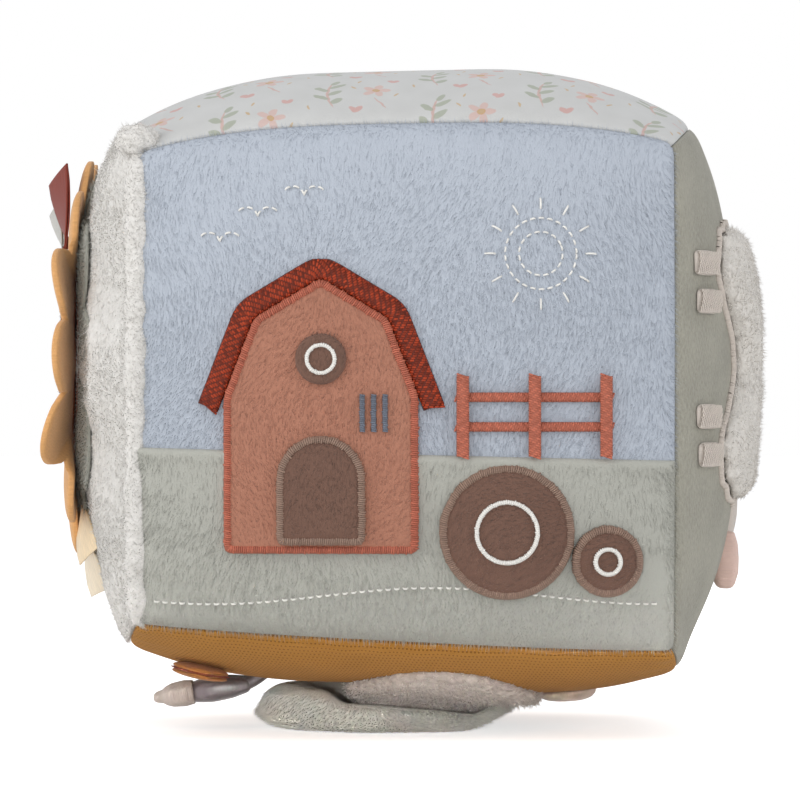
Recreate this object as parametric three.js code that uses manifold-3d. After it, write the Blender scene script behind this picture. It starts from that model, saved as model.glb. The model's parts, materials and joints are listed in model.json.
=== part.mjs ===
// A stuffed fabric play block: a six-sided cover over fibre filling, a rattle in its middle, a sewn
// farm picture in front, a woolly sheep on the right, a petal flower with ribbons on the left, and a
// plush flap, a limb and a tab below. Millimetres, +Z up, the front looks along -Y, and the origin is
// where the flap rests on the floor.

import * as THREE from "three";
import { mergeVertices } from "three/addons/utils/BufferGeometryUtils.js";
import Module from "manifold-3d";

const wasm = await Module();
wasm.setup();

// Cover, measured seam to seam
const COVER_WIDTH = 130;
const COVER_DEPTH = 130;
const COVER_HEIGHT = 118.3;
// How far the middle of each face swells past its seams
const SWELL_LEFT = 15;
const SWELL_RIGHT = 16.5;
const SWELL_FRONT = 13;
const SWELL_TOP = 20.5;
const SWELL_BOTTOM = 13.5;
// How far the middle of a seam bows outwards
const SEAM_BOW = 6;
const FRONT_TOP_BOW = 6;
const FRONT_BOTTOM_BOW = 0.9;
const FRONT_FACE_BOW = 4;
// The stuffed block leans: its right end is higher above and lower below
const TOP_LEAN = 1.2;
const BOTTOM_LEAN = 3.3;
// Cloth and clearances
const CLOTH = 2.2;
const WOOL_CLOTH = 4;
const GAP = 0.35;
const FILLING_GAP = 0.45;
const SEAM_TRIM = 0.3;
const HORIZON = 14.8;

// Rattle in the middle of the filling
const RATTLE_RADIUS = 15;
const RATTLE_WALL = 1.6;
const RATTLE_LIP = 1.4;
const BEAD_RADIUS = 2.6;
const BEAD_SPREAD = 3.3;

// Sewn picture on the front
const PATCH = 1.6;
const STITCH = 1.4;
const BORDER = 1.8;
const FINE_STITCH = 0.9;
const STATION = 8;
const BARN_CENTRE_X = -20;
const BARN_BASE = 37;
const BARN_HALF_WIDTH = 22;
const BARN_EAVES = 1;
const BARN_KNEE_X = 15;
const BARN_KNEE = 17;
const BARN_RIDGE = 26;
const ROOF_STITCH = 5.2;
const ROOF_OVERHANG = 4;
const DOOR_HALF_WIDTH = 9.5;
const DOOR_HEIGHT = 24;
const DOOR_SILL = 2;
const WINDOW_RADIUS = 6;
const WINDOW_HEIGHT = 8;
const WINDOW_RING = 3.3;
const LOUVRE_X = 12.5;
const LOUVRE_PITCH = 2.7;
const LOUVRE_HEIGHT = -9;
const LOUVRE_LENGTH = 8.5;
const FENCE_DISTANCE = 0.8;
const FENCE_PITCH = 17;
const FENCE_POST = 3;
const FENCE_POST_FOOT = -15;
const FENCE_POST_TOP = 4;
const FENCE_RAIL = 2.2;
const FENCE_RAIL_UPPER = -1;
const FENCE_RAIL_LOWER = -8;
const BIG_BALE_X = 24;
const BIG_BALE_Z = -33;
const BIG_BALE_RADIUS = 15;
const BIG_BALE_RING = 7.2;
const SMALL_BALE_X = 48;
const SMALL_BALE_Z = -40;
const SMALL_BALE_RADIUS = 7.5;
const SMALL_BALE_RING = 3;

// Sheep on the right face: places are measured back from the middle and up from the middle
const WOOL_EDGE = 4;
const WOOL_CROWN = 3.2;
const WOOL_CENTRE_Y = -19;
const WOOL_CENTRE_Z = 7.5;
const WOOL_HALF_HEIGHT = 34;
const WOOL_HALF_DEPTH = 31.5;
const BELLY_HOLLOW = 19;
const BELLY_HEIGHT_SHARE = 0.625;
const LEG_LENGTH = 11;
const LEG_WIDTH = 6;
const LEG_FOOT_Y = -62.5;
const FORE_LEGS_Z = 26.7;
const HIND_LEGS_Z = -10.2;
const LEG_PITCH = 9.2;
const HEAD_Y = 16;
const HEAD_Z = -33.5;
const HEAD_HALF_DEPTH = 11.5;
const HEAD_HALF_HEIGHT = 12.5;
const EAR_Y = -5;
const EAR_Z = -34.5;
const EAR_LENGTH = 13;
const EAR_WIDTH = 12;
const EAR_THICKNESS = 3;
const EAR_SEAT_SHARE = 0.4;

// Flower on the left face
const FLOWER_Z = 9;
const PETALS = 14;
const PETAL_ROOT = 29;
const PETAL_NOTCH = 40;
const PETAL_TIP = 50;
const PETAL_THICKNESS = 2.2;
const PETAL_RISE = 4;
const PETAL_SIDE_RISE = 6.5;
const LEAVES = 10;
const LEAF_THICKNESS = 1.3;
const LEAF_NOTCH = 42;
const LEAF_TIP = 53;
const BASE_RADIUS = 33;
const CENTRE_RADIUS = 28;
const CENTRE_EDGE = 1.4;
const CENTRE_CROWN = 2.6;
const RIBBON = 1.6;
const RIBBON_SEAT = 3;
const RUST_RIBBON_LENGTH = 18;
const RUST_RIBBON_WIDTH = 13;
const GREY_RIBBON_LENGTH = 10;
const GREY_RIBBON_WIDTH = 11;
const TAG_LENGTH = 13;
const TAG_WIDTH = 11;
const PEACH_TAG_RADIUS = 42;
const BEIGE_TAG_RADIUS = 47;

// Pieces below the knitted bottom face, which stands off the floor
const STANDOFF = 11;
const FLEECE_PATCH = 3;
const FLEECE_X = 9.5;
const FLEECE_Y = -18;
const FLEECE_HALF_WIDTH = 24;
const FLEECE_HALF_DEPTH = 36;
const FLEECE_BELLY = 11;
const FLEECE_BELLY_X = 1;
const FLEECE_BELLY_RADIUS = 27;
const SNOUT_X = 40.5;
const SNOUT_Y = -2;
const SNOUT_HALF_WIDTH = 7.5;
const SNOUT_HALF_DEPTH = 13;
const SNOUT_THICKNESS = 2.2;
const FLAP_MIDDLE = 0.8;
const FLAP_X = -5;
const FLAP_RADIUS = 30.5;
const FLAP_ROOT_Y = 29.4;
const FLAP_HEM = 1.6;
const FLAP_BLEND = 10;
const FLAP_RIM = 12;
const FLAP_LINING = 0.5;
const LIMB_ROOT_X = -38.5;
const LIMB_Y = -8;
const LIMB_LENGTH = 22.5;
const LIMB_WIDTH = 15;
const LIMB_THICKNESS = 6.4;
const LIMB_ROOT_THICKNESS = 3.6;
const TIP_LENGTH = 8.5;
const TAB_X = -50;
const TAB_ROOT_Y = -34;
const TAB_LENGTH = 12;
const TAB_WIDTH = 14;
const TAB_THICKNESS = 2;
const TAB_LINING = 1.3;

// How finely the cloth is divided
const PANEL_CELLS = 12;
const FILLING_CELLS = 8;
const CROWDING_SHARE = 0.25;
const PAD_SIDES = 10;
const WOOL_POINTS = 28;
const FLAP_POINTS = 28;
const SETTLING_STEPS = 12;

// Sections of soft strips: along the length, across the width and through the thickness
const TONGUE_SHARES = [
  [0, 0.72, 0.7],
  [0.25, 0.9, 0.95],
  [0.55, 1, 1],
  [0.85, 0.88, 0.9],
  [1, 0.6, 0.5],
];
const RIBBON_SHARES = [
  [0, 0.5, 1],
  [0.3, 0.95, 1],
  [0.8, 1, 1],
  [1, 0.85, 1],
];
const LEAF_SHARES = [
  [0, 0.75, 1],
  [0.4, 1, 1],
  [0.8, 0.8, 1],
  [1, 0.4, 1],
];
const LIMB_SHARES = [
  [0.35, 0.95, 0.9],
  [0.7, 0.95, 1],
  [1, 0.8, 0.85],
];
const LIMB_ROOT_WIDTH_SHARE = 0.8;
const LIMB_DROOP_SHARE = 0.15;
const TIP_SHARES = [
  [0, 0.85, 0.9],
  [0.4, 1, 1],
  [0.8, 0.8, 0.75],
  [1, 0.4, 0.35],
];
const RIM_SHARE = 0.72;
const FLAP_RING_SHARES = [0.15, 0.3, 0.42, 0.54, 0.66, 0.77, 0.86, 0.93, 0.98, 1];
const LINING_RINGS = 4;
const LINING_FIT_SHARE = 0.92;

const CENTRE_HEIGHT = COVER_HEIGHT / 2 + SWELL_BOTTOM + STANDOFF;
// the wool's belly is pressed flat this high above the floor, on the flap's lining and its middle
const BELLY_REST = FLAP_MIDDLE + GAP + FLAP_LINING + GAP;

// Cover shape

const AXES = ["x", "y", "z"];
const HALF = new THREE.Vector3(COVER_WIDTH, COVER_DEPTH, COVER_HEIGHT).divideScalar(2);

// A face has its outward normal, the two directions that lie in it, and how its cloth swells
function makeFace(normal, across, up, swell, cloth, seamBow, frontBow) {
  return {
    normal: new THREE.Vector3(...normal),
    across: new THREE.Vector3(...across),
    up: new THREE.Vector3(...up),
    swell,
    cloth,
    seamBow,
    frontBow,
  };
}

const left = makeFace([-1, 0, 0], [0, -1, 0], [0, 0, 1], SWELL_LEFT, WOOL_CLOTH, SEAM_BOW, 0);
const right = makeFace([1, 0, 0], [0, 1, 0], [0, 0, 1], SWELL_RIGHT, CLOTH, SEAM_BOW, 0);
const front = makeFace([0, -1, 0], [1, 0, 0], [0, 0, 1], SWELL_FRONT, CLOTH, FRONT_FACE_BOW, 0);
const back = makeFace([0, 1, 0], [-1, 0, 0], [0, 0, 1], SWELL_FRONT, CLOTH, FRONT_FACE_BOW, 0);
const topFace = makeFace([0, 0, 1], [1, 0, 0], [0, 1, 0], SWELL_TOP, CLOTH, SEAM_BOW, FRONT_TOP_BOW);
const bottom = makeFace(
  [0, 0, -1], [1, 0, 0], [0, -1, 0], SWELL_BOTTOM, CLOTH, SEAM_BOW, FRONT_BOTTOM_BOW,
);
const SIDES = { x: [left, right], y: [front, back], z: [bottom, topFace] };

const sideAt = (q, axis) => SIDES[axis][q[axis] > 0 ? 1 : 0];
const bowOf = (side, neighbour) => (neighbour === front ? side.frontBow : side.seamBow);
const outside = () => 0;
const inside = (side) => side.cloth;
const filled = (side) => side.cloth + FILLING_GAP;

// The point of the stuffed block for a point q of a unit cube, a layer's depth below the cloth
function blockPoint(q, layer) {
  const point = new THREE.Vector3();
  const dome = (axis) => 1 - Math.abs(q[axis]) ** 3;
  for (const axis of AXES) {
    const [a, b] = AXES.filter((other) => other !== axis);
    const side = sideAt(q, axis);
    const rise =
      side.swell * dome(a) * dome(b) +
      bowOf(side, sideAt(q, a)) * q[a] ** 2 * dome(b) +
      bowOf(side, sideAt(q, b)) * q[b] ** 2 * dome(a);
    point[axis] = (HALF[axis] - layer(side)) * q[axis] + Math.sign(q[axis]) * q[axis] ** 2 * rise;
  }
  point.z += (q.x * (TOP_LEAN * (1 + q.z) - BOTTOM_LEAN * (1 - q.z))) / 2;
  return point;
}

// The unit cube's point at shares u and v of a face
const cubePoint = (face, u, v) =>
  face.normal.clone().addScaledVector(face.across, u).addScaledVector(face.up, v);

const halfAlong = (direction) => Math.abs(HALF.dot(direction));

// The point of a face's cloth that lies x across and y up from its middle, lifted off the cloth
function onFace(face, x, y, lift = 0) {
  const halfAcross = halfAlong(face.across);
  const halfUp = halfAlong(face.up);
  const share = (value) => THREE.MathUtils.clamp(value, -1, 1);
  let u = share(x / halfAcross);
  let v = share(y / halfUp);
  let point = blockPoint(cubePoint(face, u, v), outside);
  for (let step = 0; step < SETTLING_STEPS; step += 1) {
    u = share(u + (x - point.dot(face.across)) / halfAcross);
    v = share(v + (y - point.dot(face.up)) / halfUp);
    point = blockPoint(cubePoint(face, u, v), outside);
  }
  return new THREE.Vector3()
    .addScaledVector(face.across, x)
    .addScaledVector(face.up, y)
    .addScaledVector(face.normal, point.dot(face.normal) + lift);
}

// Closed sheets of cloth

// A solid between an upper and a lower layer of matching points, walled along its open edges
function closeSheet(upper, lower, triangles) {
  const count = upper.length;
  const index = [];
  const edges = new Map();
  for (const [a, b, c] of triangles) {
    index.push(a, b, c, a + count, c + count, b + count);
    for (const [from, to] of [[a, b], [b, c], [c, a]]) edges.set(`${from} ${to}`, [from, to]);
  }
  for (const [from, to] of edges.values()) {
    if (edges.has(`${to} ${from}`)) continue;
    index.push(from, from + count, to + count, from, to + count, to);
  }
  const points = [...upper, ...lower].flatMap((point) => point.toArray());
  const geometry = new THREE.BufferGeometry();
  geometry.setAttribute("position", new THREE.Float32BufferAttribute(points, 3));
  geometry.setIndex(index);
  return geometry;
}

// Triangles between neighbouring rows of equally many points, the last joined to the first if closed
function rowTriangles(rows, count, closed) {
  const triangles = [];
  for (let row = 0; row + 1 < rows; row += 1) {
    for (let i = 0; i < (closed ? count : count - 1); i += 1) {
      const next = (i + 1) % count;
      const [a, b] = [row * count + i, row * count + next];
      triangles.push([a, a + count, b + count], [a, b + count, b]);
    }
  }
  return triangles;
}

// Triangles of a disc: a middle point, then rings of equally many points
function discTriangles(rings, count) {
  const spokes = Array.from({ length: count }, (_, i) => [0, i + 1, ((i + 1) % count) + 1]);
  const around = rowTriangles(rings, count, true).map((corners) => corners.map((i) => i + 1));
  return [...spokes, ...around];
}

// Shares from -1 to 1, closer together towards both ends
function crowded(cells) {
  return Array.from({ length: cells + 1 }, (_, i) => {
    const t = (2 * i) / cells - 1;
    return t * (1 + CROWDING_SHARE - CROWDING_SHARE * t ** 2);
  });
}

const trimmed = (direction) => 1 - SEAM_TRIM / halfAlong(direction);

// One panel of the cover: its cloth between the outer and the inner layer, mitred at the seams
function panel(face, rise = crowded(PANEL_CELLS).map((t) => t * trimmed(face.up))) {
  const run = crowded(PANEL_CELLS).map((t) => t * trimmed(face.across));
  // the rows run down the face, so that their triangles look outwards
  const rows = [...rise].reverse();
  const layer = (depth) =>
    rows.flatMap((v) => run.map((u) => blockPoint(cubePoint(face, u, v), depth)));
  return closeSheet(layer(outside), layer(inside), rowTriangles(rows.length, run.length, false));
}

// A piece of cloth laid on a face, its outline scaled in rings about its middle
function patch(face, middle, outline, thickness, options = {}) {
  const { rings = 1, lift = GAP, crown = 0, edge = 0, bulge = () => 0 } = options;
  const shares = Array.from({ length: rings }, (_, i) => (i + 1) / rings);
  const spots = [middle, ...shares.flatMap((s) => outline.map((p) => middle.clone().lerp(p, s)))];
  const steps = [0, ...shares.flatMap((s) => outline.map(() => s))];
  const height = (s) => thickness + crown * (1 - s ** 2) - edge * s ** 6;
  const upper = spots.map((p, i) => onFace(face, p.x, p.y, lift + height(steps[i]) + bulge(p)));
  const lower = spots.map((p) => onFace(face, p.x, p.y, lift));
  return closeSheet(upper, lower, discTriangles(rings, outline.length));
}

// Points moved to the left of a path by a distance, mitred at its corners
function offsetPath(points, distance, closed) {
  return points.map((point, i) => {
    const last = points.length - 1;
    const from = closed || i > 0 ? points.at(i - 1) : null;
    const to = closed || i < last ? points[(i + 1) % points.length] : null;
    const out = to ? to.clone().sub(point).normalize() : point.clone().sub(from).normalize();
    const into = from ? point.clone().sub(from).normalize() : out;
    const square = new THREE.Vector2(-out.y, out.x);
    const mitre = into.clone().add(out).normalize();
    const normal = new THREE.Vector2(-mitre.y, mitre.x);
    return point.clone().addScaledVector(normal, distance / normal.dot(square));
  });
}

// A band of satin stitch along a path on a face
function band(face, path, width, closed, lift = GAP, thickness = STITCH) {
  const sides = [offsetPath(path, width / 2, closed), offsetPath(path, -width / 2, closed)];
  const spots = sides.flat();
  const upper = spots.map((p) => onFace(face, p.x, p.y, lift + thickness));
  const lower = spots.map((p) => onFace(face, p.x, p.y, lift));
  return closeSheet(upper, lower, rowTriangles(2, path.length, closed));
}

const at = (x, y) => new THREE.Vector2(x, y);

function ellipse(middle, radiusX, radiusY, count) {
  return Array.from({ length: count }, (_, i) => {
    const angle = (2 * Math.PI * i) / count;
    return at(middle.x + radiusX * Math.cos(angle), middle.y + radiusY * Math.sin(angle));
  });
}

const circle = (middle, radius, count) => ellipse(middle, radius, radius, count);

// A path with points added so that no step is longer than one station
function divide(points, closed) {
  const ends = closed ? [...points, points[0]] : points;
  const path = ends.slice(0, -1).flatMap((from, i) => {
    const steps = Math.ceil(from.distanceTo(ends[i + 1]) / STATION);
    return Array.from({ length: steps }, (_, k) => from.clone().lerp(ends[i + 1], k / steps));
  });
  return closed ? path : [...path, points.at(-1)];
}

// A padded strip that starts at a flat root: sections are shares of its length, width and thickness
function pad(length, width, thickness, sections) {
  const rings = sections.map(([along, wide, thick]) =>
    Array.from({ length: PAD_SIDES }, (_, i) => {
      const angle = (2 * Math.PI * i) / PAD_SIDES;
      const flat = (value) => Math.sign(value) * Math.abs(value) ** 0.7;
      return new THREE.Vector3(
        length * along,
        (width / 2) * wide * flat(Math.cos(angle)),
        (thickness / 2) * thick * flat(Math.sin(angle)),
      );
    }),
  );
  const ends = [sections[0], sections.at(-1)].map(([along]) => new THREE.Vector3(length * along, 0, 0));
  const points = [...rings.flat(), ...ends];
  const index = rowTriangles(rings.length, PAD_SIDES, true).map(([a, b, c]) => [a, c, b]);
  const lastRing = (rings.length - 1) * PAD_SIDES;
  for (let i = 0; i < PAD_SIDES; i += 1) {
    const next = (i + 1) % PAD_SIDES;
    index.push([points.length - 2, next, i], [points.length - 1, lastRing + i, lastRing + next]);
  }
  const geometry = new THREE.BufferGeometry();
  geometry.setAttribute(
    "position",
    new THREE.Float32BufferAttribute(points.flatMap((p) => p.toArray()), 3),
  );
  geometry.setIndex(index.flat());
  return geometry;
}

// Joining and cutting

function solidOf(geometry) {
  const bare = geometry.clone();
  bare.deleteAttribute("normal");
  bare.deleteAttribute("uv");
  const merged = mergeVertices(bare);
  return new wasm.Manifold(
    new wasm.Mesh({
      numProp: 3,
      vertProperties: merged.attributes.position.array,
      triVerts: new Uint32Array(merged.index.array),
    }),
  );
}

function geometryOf(solid) {
  const mesh = solid.getMesh();
  const geometry = new THREE.BufferGeometry();
  geometry.setAttribute("position", new THREE.BufferAttribute(mesh.vertProperties, 3));
  geometry.setIndex(new THREE.BufferAttribute(mesh.triVerts, 1));
  return geometry;
}

// Materials and nodes

const cloths = {
  sky: 0xafb6be,
  ground: 0xa5a498,
  cotton: 0xcbcbc9,
  wool: 0xcdcac5,
  sage: 0x959386,
  blush: 0xc3ab9f,
  knit: 0x996d31,
  mustard: 0xc29d6b,
  rust: 0x843720,
  terracotta: 0xae715e,
  salmon: 0xa05848,
  brown: 0x644a3e,
  taupe: 0x826a5d,
  white: 0xe6e4df,
  slate: 0x6f7480,
  greyGreen: 0xaba59d,
  greySatin: 0x857c7a,
  cream: 0xbaafa5,
  peach: 0xceb28f,
  pink: 0xc3aa9f,
  fibre: 0xf0eee8,
  shell: 0xe8e6df,
  bead: 0xb58d3c,
};

const part = new THREE.Group();
const block = new THREE.Group();
block.position.z = CENTRE_HEIGHT;
part.add(block);

function add(name, geometry, colour, parent = block) {
  const roughness = colour === cloths.shell || colour === cloths.bead ? 0.4 : 0.95;
  const material = new THREE.MeshStandardMaterial({ color: colour, roughness, metalness: 0 });
  const mesh = new THREE.Mesh(geometry, material);
  mesh.name = name;
  parent.add(mesh);
  return mesh;
}

// A group whose X runs along a hinged piece, whose Y is its hinge line and whose origin is on it
function hingeAt(point, along, hingeLine) {
  const x = along.clone().normalize();
  const z = new THREE.Vector3().crossVectors(x, hingeLine).normalize();
  const y = new THREE.Vector3().crossVectors(z, x);
  const group = new THREE.Group();
  group.position.copy(point);
  group.quaternion.setFromRotationMatrix(new THREE.Matrix4().makeBasis(x, y, z));
  block.add(group);
  return group;
}

// Filling and rattle

function blockSurface(layer) {
  const shares = crowded(FILLING_CELLS);
  const rows = [...shares].reverse();
  const points = [];
  const index = [];
  for (const face of [left, right, front, back, topFace, bottom]) {
    const start = points.length;
    points.push(...rows.flatMap((v) => shares.map((u) => blockPoint(cubePoint(face, u, v), layer))));
    const triangles = rowTriangles(rows.length, shares.length, false);
    index.push(...triangles.flat().map((i) => i + start));
  }
  const geometry = new THREE.BufferGeometry();
  geometry.setAttribute(
    "position",
    new THREE.Float32BufferAttribute(points.flatMap((p) => p.toArray()), 3),
  );
  geometry.setIndex(index);
  return geometry;
}

function addFilling() {
  const whole = solidOf(blockSurface(filled));
  const pocket = solidOf(new THREE.SphereGeometry(RATTLE_RADIUS + GAP, 16, 12));
  const slab = [COVER_WIDTH, COVER_DEPTH, COVER_HEIGHT].map((size) => 2 * size);
  for (const [name, side] of [["filling_lower", -1], ["filling_upper", 1]]) {
    const cut = new THREE.BoxGeometry(...slab).translate(0, 0, (side * (slab[2] + GAP)) / 2);
    add(name, geometryOf(whole.intersect(solidOf(cut)).subtract(pocket)), cloths.fibre);
  }
}

// Points of an arc in a lathe profile, from one angle above the equator to another
function arc(radius, from, to, steps) {
  return Array.from({ length: steps + 1 }, (_, i) => {
    const angle = THREE.MathUtils.lerp(from, to, i / steps);
    return at(radius * Math.cos(angle), radius * Math.sin(angle));
  });
}

function addRattle() {
  const segments = 16;
  const pole = Math.PI / 2;
  const inner = RATTLE_RADIUS - RATTLE_WALL;
  const lipOuter = RATTLE_RADIUS - RATTLE_WALL / 2 - GAP / 2;
  const lipInner = lipOuter + GAP;
  // the lower half carries the lip, which stands inside the upper half's rebate
  const lower = [
    ...arc(inner, -pole, 0, 5).slice(0, -1),
    at(inner, RATTLE_LIP),
    at(lipOuter, RATTLE_LIP),
    at(lipOuter, 0),
    ...arc(RATTLE_RADIUS, 0, -pole, 5),
  ];
  const rebate = RATTLE_LIP + GAP;
  const upperStart = Math.asin(rebate / inner);
  const upper = [
    ...arc(RATTLE_RADIUS, pole, 0, 5).slice(0, -1),
    at(RATTLE_RADIUS, GAP),
    at(lipInner, GAP),
    at(lipInner, rebate),
    ...arc(inner, upperStart, pole, 5),
  ];
  const turned = (profile) => {
    const ends = [0, profile.length - 1];
    const onAxis = profile.map((p, i) => (ends.includes(i) ? at(0, p.y) : p));
    return new THREE.LatheGeometry(onAxis.reverse(), segments).rotateX(pole);
  };
  add("rattle_case_lower", turned(lower), cloths.shell);
  add("rattle_case_upper", turned(upper), cloths.shell);
  const reach = inner - BEAD_RADIUS - GAP;
  const drop = Math.sqrt(reach ** 2 - 2 * BEAD_SPREAD ** 2);
  [[-1, -1], [1, -1], [1, 1], [-1, 1]].forEach(([sx, sy], i) => {
    const bead = add(`rattle_bead_${i + 1}`, new THREE.SphereGeometry(BEAD_RADIUS, 8, 6), cloths.bead);
    bead.position.set(sx * BEAD_SPREAD, sy * BEAD_SPREAD, -drop);
  });
}

// Cover

function addCover() {
  const rows = crowded(PANEL_CELLS).map((t) => t * trimmed(front.up));
  const horizon = -HORIZON / HALF.z;
  const trim = SEAM_TRIM / 2 / HALF.z;
  const step = 1 / PANEL_CELLS;
  const above = rows.filter((v) => v > horizon + step);
  const below = rows.filter((v) => v < horizon - step);
  add("front_sky_panel", panel(front, [horizon + trim, ...above]), cloths.sky);
  add("front_ground_panel", panel(front, [...below, horizon - trim]), cloths.ground);
  add("top_panel", panel(topFace), cloths.cotton);
  add("bottom_panel", panel(bottom), cloths.knit);
  add("left_panel", panel(left), cloths.wool);
  add("right_panel", panel(right), cloths.sage);
  add("back_panel", panel(back), cloths.blush);
}

// Farm picture on the front

const onPatch = GAP + PATCH + GAP;

// A plush shape with a satin border around it: the cloth ends where the border begins
function addBordered(name, outline, middle, colour, borderColour, options = {}) {
  const { rings = 2, lift = GAP } = options;
  const inset = offsetPath(outline, BORDER / 2 + GAP, true);
  add(name, patch(front, middle, inset, PATCH, { rings, lift }), colour);
  add(`${name}_border`, band(front, outline, BORDER, true, lift), borderColour);
}

function addBarn() {
  const x = (offset) => BARN_CENTRE_X + offset;
  const gable = [
    at(x(BARN_HALF_WIDTH), -BARN_EAVES),
    at(x(BARN_KNEE_X), BARN_KNEE),
    at(x(0), BARN_RIDGE),
    at(x(-BARN_KNEE_X), BARN_KNEE),
    at(x(-BARN_HALF_WIDTH), -BARN_EAVES),
  ];
  const foot = [at(x(-BARN_HALF_WIDTH), -BARN_BASE), at(x(BARN_HALF_WIDTH), -BARN_BASE)];
  const middle = at(x(0), (BARN_RIDGE - BARN_BASE) / 2);
  const walls = divide([...gable, ...foot], true);
  addBordered("barn_wall", walls, middle, cloths.terracotta, cloths.salmon, { rings: 3 });

  // the roof's stitch runs outside the gable and past the eaves
  const outer = offsetPath(gable, -(BORDER + ROOF_STITCH) / 2 - GAP, false);
  const longer = (end, before) =>
    end.clone().add(end.clone().sub(before).normalize().multiplyScalar(ROOF_OVERHANG));
  const [firstEnd, lastEnd] = [longer(outer[0], outer[1]), longer(outer.at(-1), outer.at(-2))];
  const roof = [firstEnd, ...outer.slice(1, -1), lastEnd];
  add("barn_roof", band(front, divide(roof, false), ROOF_STITCH, false), cloths.rust);

  const sill = DOOR_SILL - BARN_BASE;
  const spring = sill + DOOR_HEIGHT - DOOR_HALF_WIDTH;
  const arch = arc(DOOR_HALF_WIDTH, 0, Math.PI, 8).map((p) => at(x(p.x), spring + p.y));
  const door = divide([...arch, at(x(-DOOR_HALF_WIDTH), sill), at(x(DOOR_HALF_WIDTH), sill)], true);
  const doorMiddle = at(x(0), sill + DOOR_HEIGHT / 2);
  const options = { rings: 2, lift: onPatch };
  addBordered("barn_door", door, doorMiddle, cloths.brown, cloths.taupe, options);

  const loft = at(x(0), WINDOW_HEIGHT);
  const disc = patch(front, loft, circle(loft, WINDOW_RADIUS, 16), PATCH, { lift: onPatch });
  add("loft_window", disc, cloths.brown);
  const ring = band(front, circle(loft, WINDOW_RING, 12), FINE_STITCH, true, onPatch + PATCH + GAP);
  add("loft_window_ring", ring, cloths.white);
  for (let i = 0; i < 3; i += 1) {
    const louvre = x(LOUVRE_X + (i - 1) * LOUVRE_PITCH);
    const path = [at(louvre, LOUVRE_HEIGHT), at(louvre, LOUVRE_HEIGHT + LOUVRE_LENGTH)];
    add(`louvre_${i + 1}`, band(front, path, FINE_STITCH, false, onPatch), cloths.slate);
  }
}

function addFence() {
  // the fence starts clear of the roof's eaves
  const start = BARN_CENTRE_X + BARN_HALF_WIDTH + ROOF_STITCH + ROOF_OVERHANG + FENCE_DISTANCE;
  const end = start + 2 * FENCE_PITCH + FENCE_POST;
  for (const [name, height] of [["upper", FENCE_RAIL_UPPER], ["lower", FENCE_RAIL_LOWER]]) {
    const rail = divide([at(start, height), at(end, height)], false);
    add(`fence_rail_${name}`, band(front, rail, FENCE_RAIL, false), cloths.salmon);
  }
  for (let i = 0; i < 3; i += 1) {
    const x = start + FENCE_POST / 2 + i * FENCE_PITCH;
    const post = divide([at(x, FENCE_POST_FOOT), at(x, FENCE_POST_TOP)], false);
    const lift = GAP + STITCH + GAP;
    add(`fence_post_${i + 1}`, band(front, post, FENCE_POST, false, lift), cloths.salmon);
  }
}

function addBale(name, middle, radius, ringRadius) {
  const outline = circle(middle, radius, 20);
  addBordered(name, outline, middle, cloths.brown, cloths.taupe);
  const ring = band(front, circle(middle, ringRadius, 16), FINE_STITCH, true, onPatch);
  add(`${name}_ring`, ring, cloths.white);
}

// Sheep on the right

function woolOutline() {
  return Array.from({ length: WOOL_POINTS }, (_, i) => {
    const angle = (2 * Math.PI * i) / WOOL_POINTS;
    const [depth, height] = [Math.cos(angle), Math.sin(angle)];
    const arched = Math.max(0, 1 - (height / BELLY_HEIGHT_SHARE) ** 2) ** 2;
    const hollow = BELLY_HOLLOW * Math.max(0, -depth) * arched;
    const square = 1 / (depth ** 4 + height ** 4) ** 0.25;
    return at(
      WOOL_CENTRE_Y + WOOL_HALF_DEPTH * depth * square + hollow,
      WOOL_CENTRE_Z + WOOL_HALF_HEIGHT * height * square,
    );
  });
}

function addSheep() {
  const middle = at(WOOL_CENTRE_Y, WOOL_CENTRE_Z);
  const wool = { rings: 4, crown: WOOL_CROWN, edge: WOOL_EDGE / 4 };
  add("sheep_fleece", patch(right, middle, woolOutline(), WOOL_EDGE, wool), cloths.wool);
  const legs = [FORE_LEGS_Z, HIND_LEGS_Z].flatMap((z) => [z + LEG_PITCH / 2, z - LEG_PITCH / 2]);
  legs.forEach((height, i) => {
    const leg = at(LEG_FOOT_Y + LEG_LENGTH / 2, height);
    const outline = ellipse(leg, 1, 1, 12).map((p) => {
      const [dx, dy] = [p.x - leg.x, p.y - leg.y];
      const square = 1 / (dx ** 6 + dy ** 6) ** (1 / 6);
      return at(leg.x + (LEG_LENGTH / 2) * dx * square, leg.y + (LEG_WIDTH / 2) * dy * square);
    });
    add(`sheep_leg_${i + 1}`, patch(right, leg, outline, PATCH), cloths.cream);
  });
  const head = at(HEAD_Y, HEAD_Z);
  const outline = ellipse(head, HEAD_HALF_DEPTH, HEAD_HALF_HEIGHT, 18);
  add("sheep_head", patch(right, head, outline, PATCH, { rings: 2, crown: PATCH }), cloths.cream);
  const root = onFace(right, EAR_Y, EAR_Z, GAP + EAR_THICKNESS * EAR_SEAT_SHARE);
  const tip = onFace(right, EAR_Y, EAR_Z - EAR_LENGTH, GAP + EAR_THICKNESS);
  const hinge = hingeAt(root, tip.sub(root), new THREE.Vector3(0, -1, 0));
  add("sheep_ear", pad(EAR_LENGTH, EAR_WIDTH, EAR_THICKNESS, TONGUE_SHARES), cloths.pink, hinge);
}

// Flower on the left

const petalWave = (angle, count) => Math.abs(Math.cos((count * angle) / 2));
const flowerBack = GAP + LEAF_THICKNESS + GAP;

// Where a petal's cloth lies above the face at a radius and an angle
function petalLift(radius, angle) {
  const rise = PETAL_RISE + PETAL_SIDE_RISE * Math.abs(Math.cos(angle));
  return flowerBack + rise * ((radius - PETAL_ROOT) / (PETAL_TIP - PETAL_ROOT)) ** 1.2;
}

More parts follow.
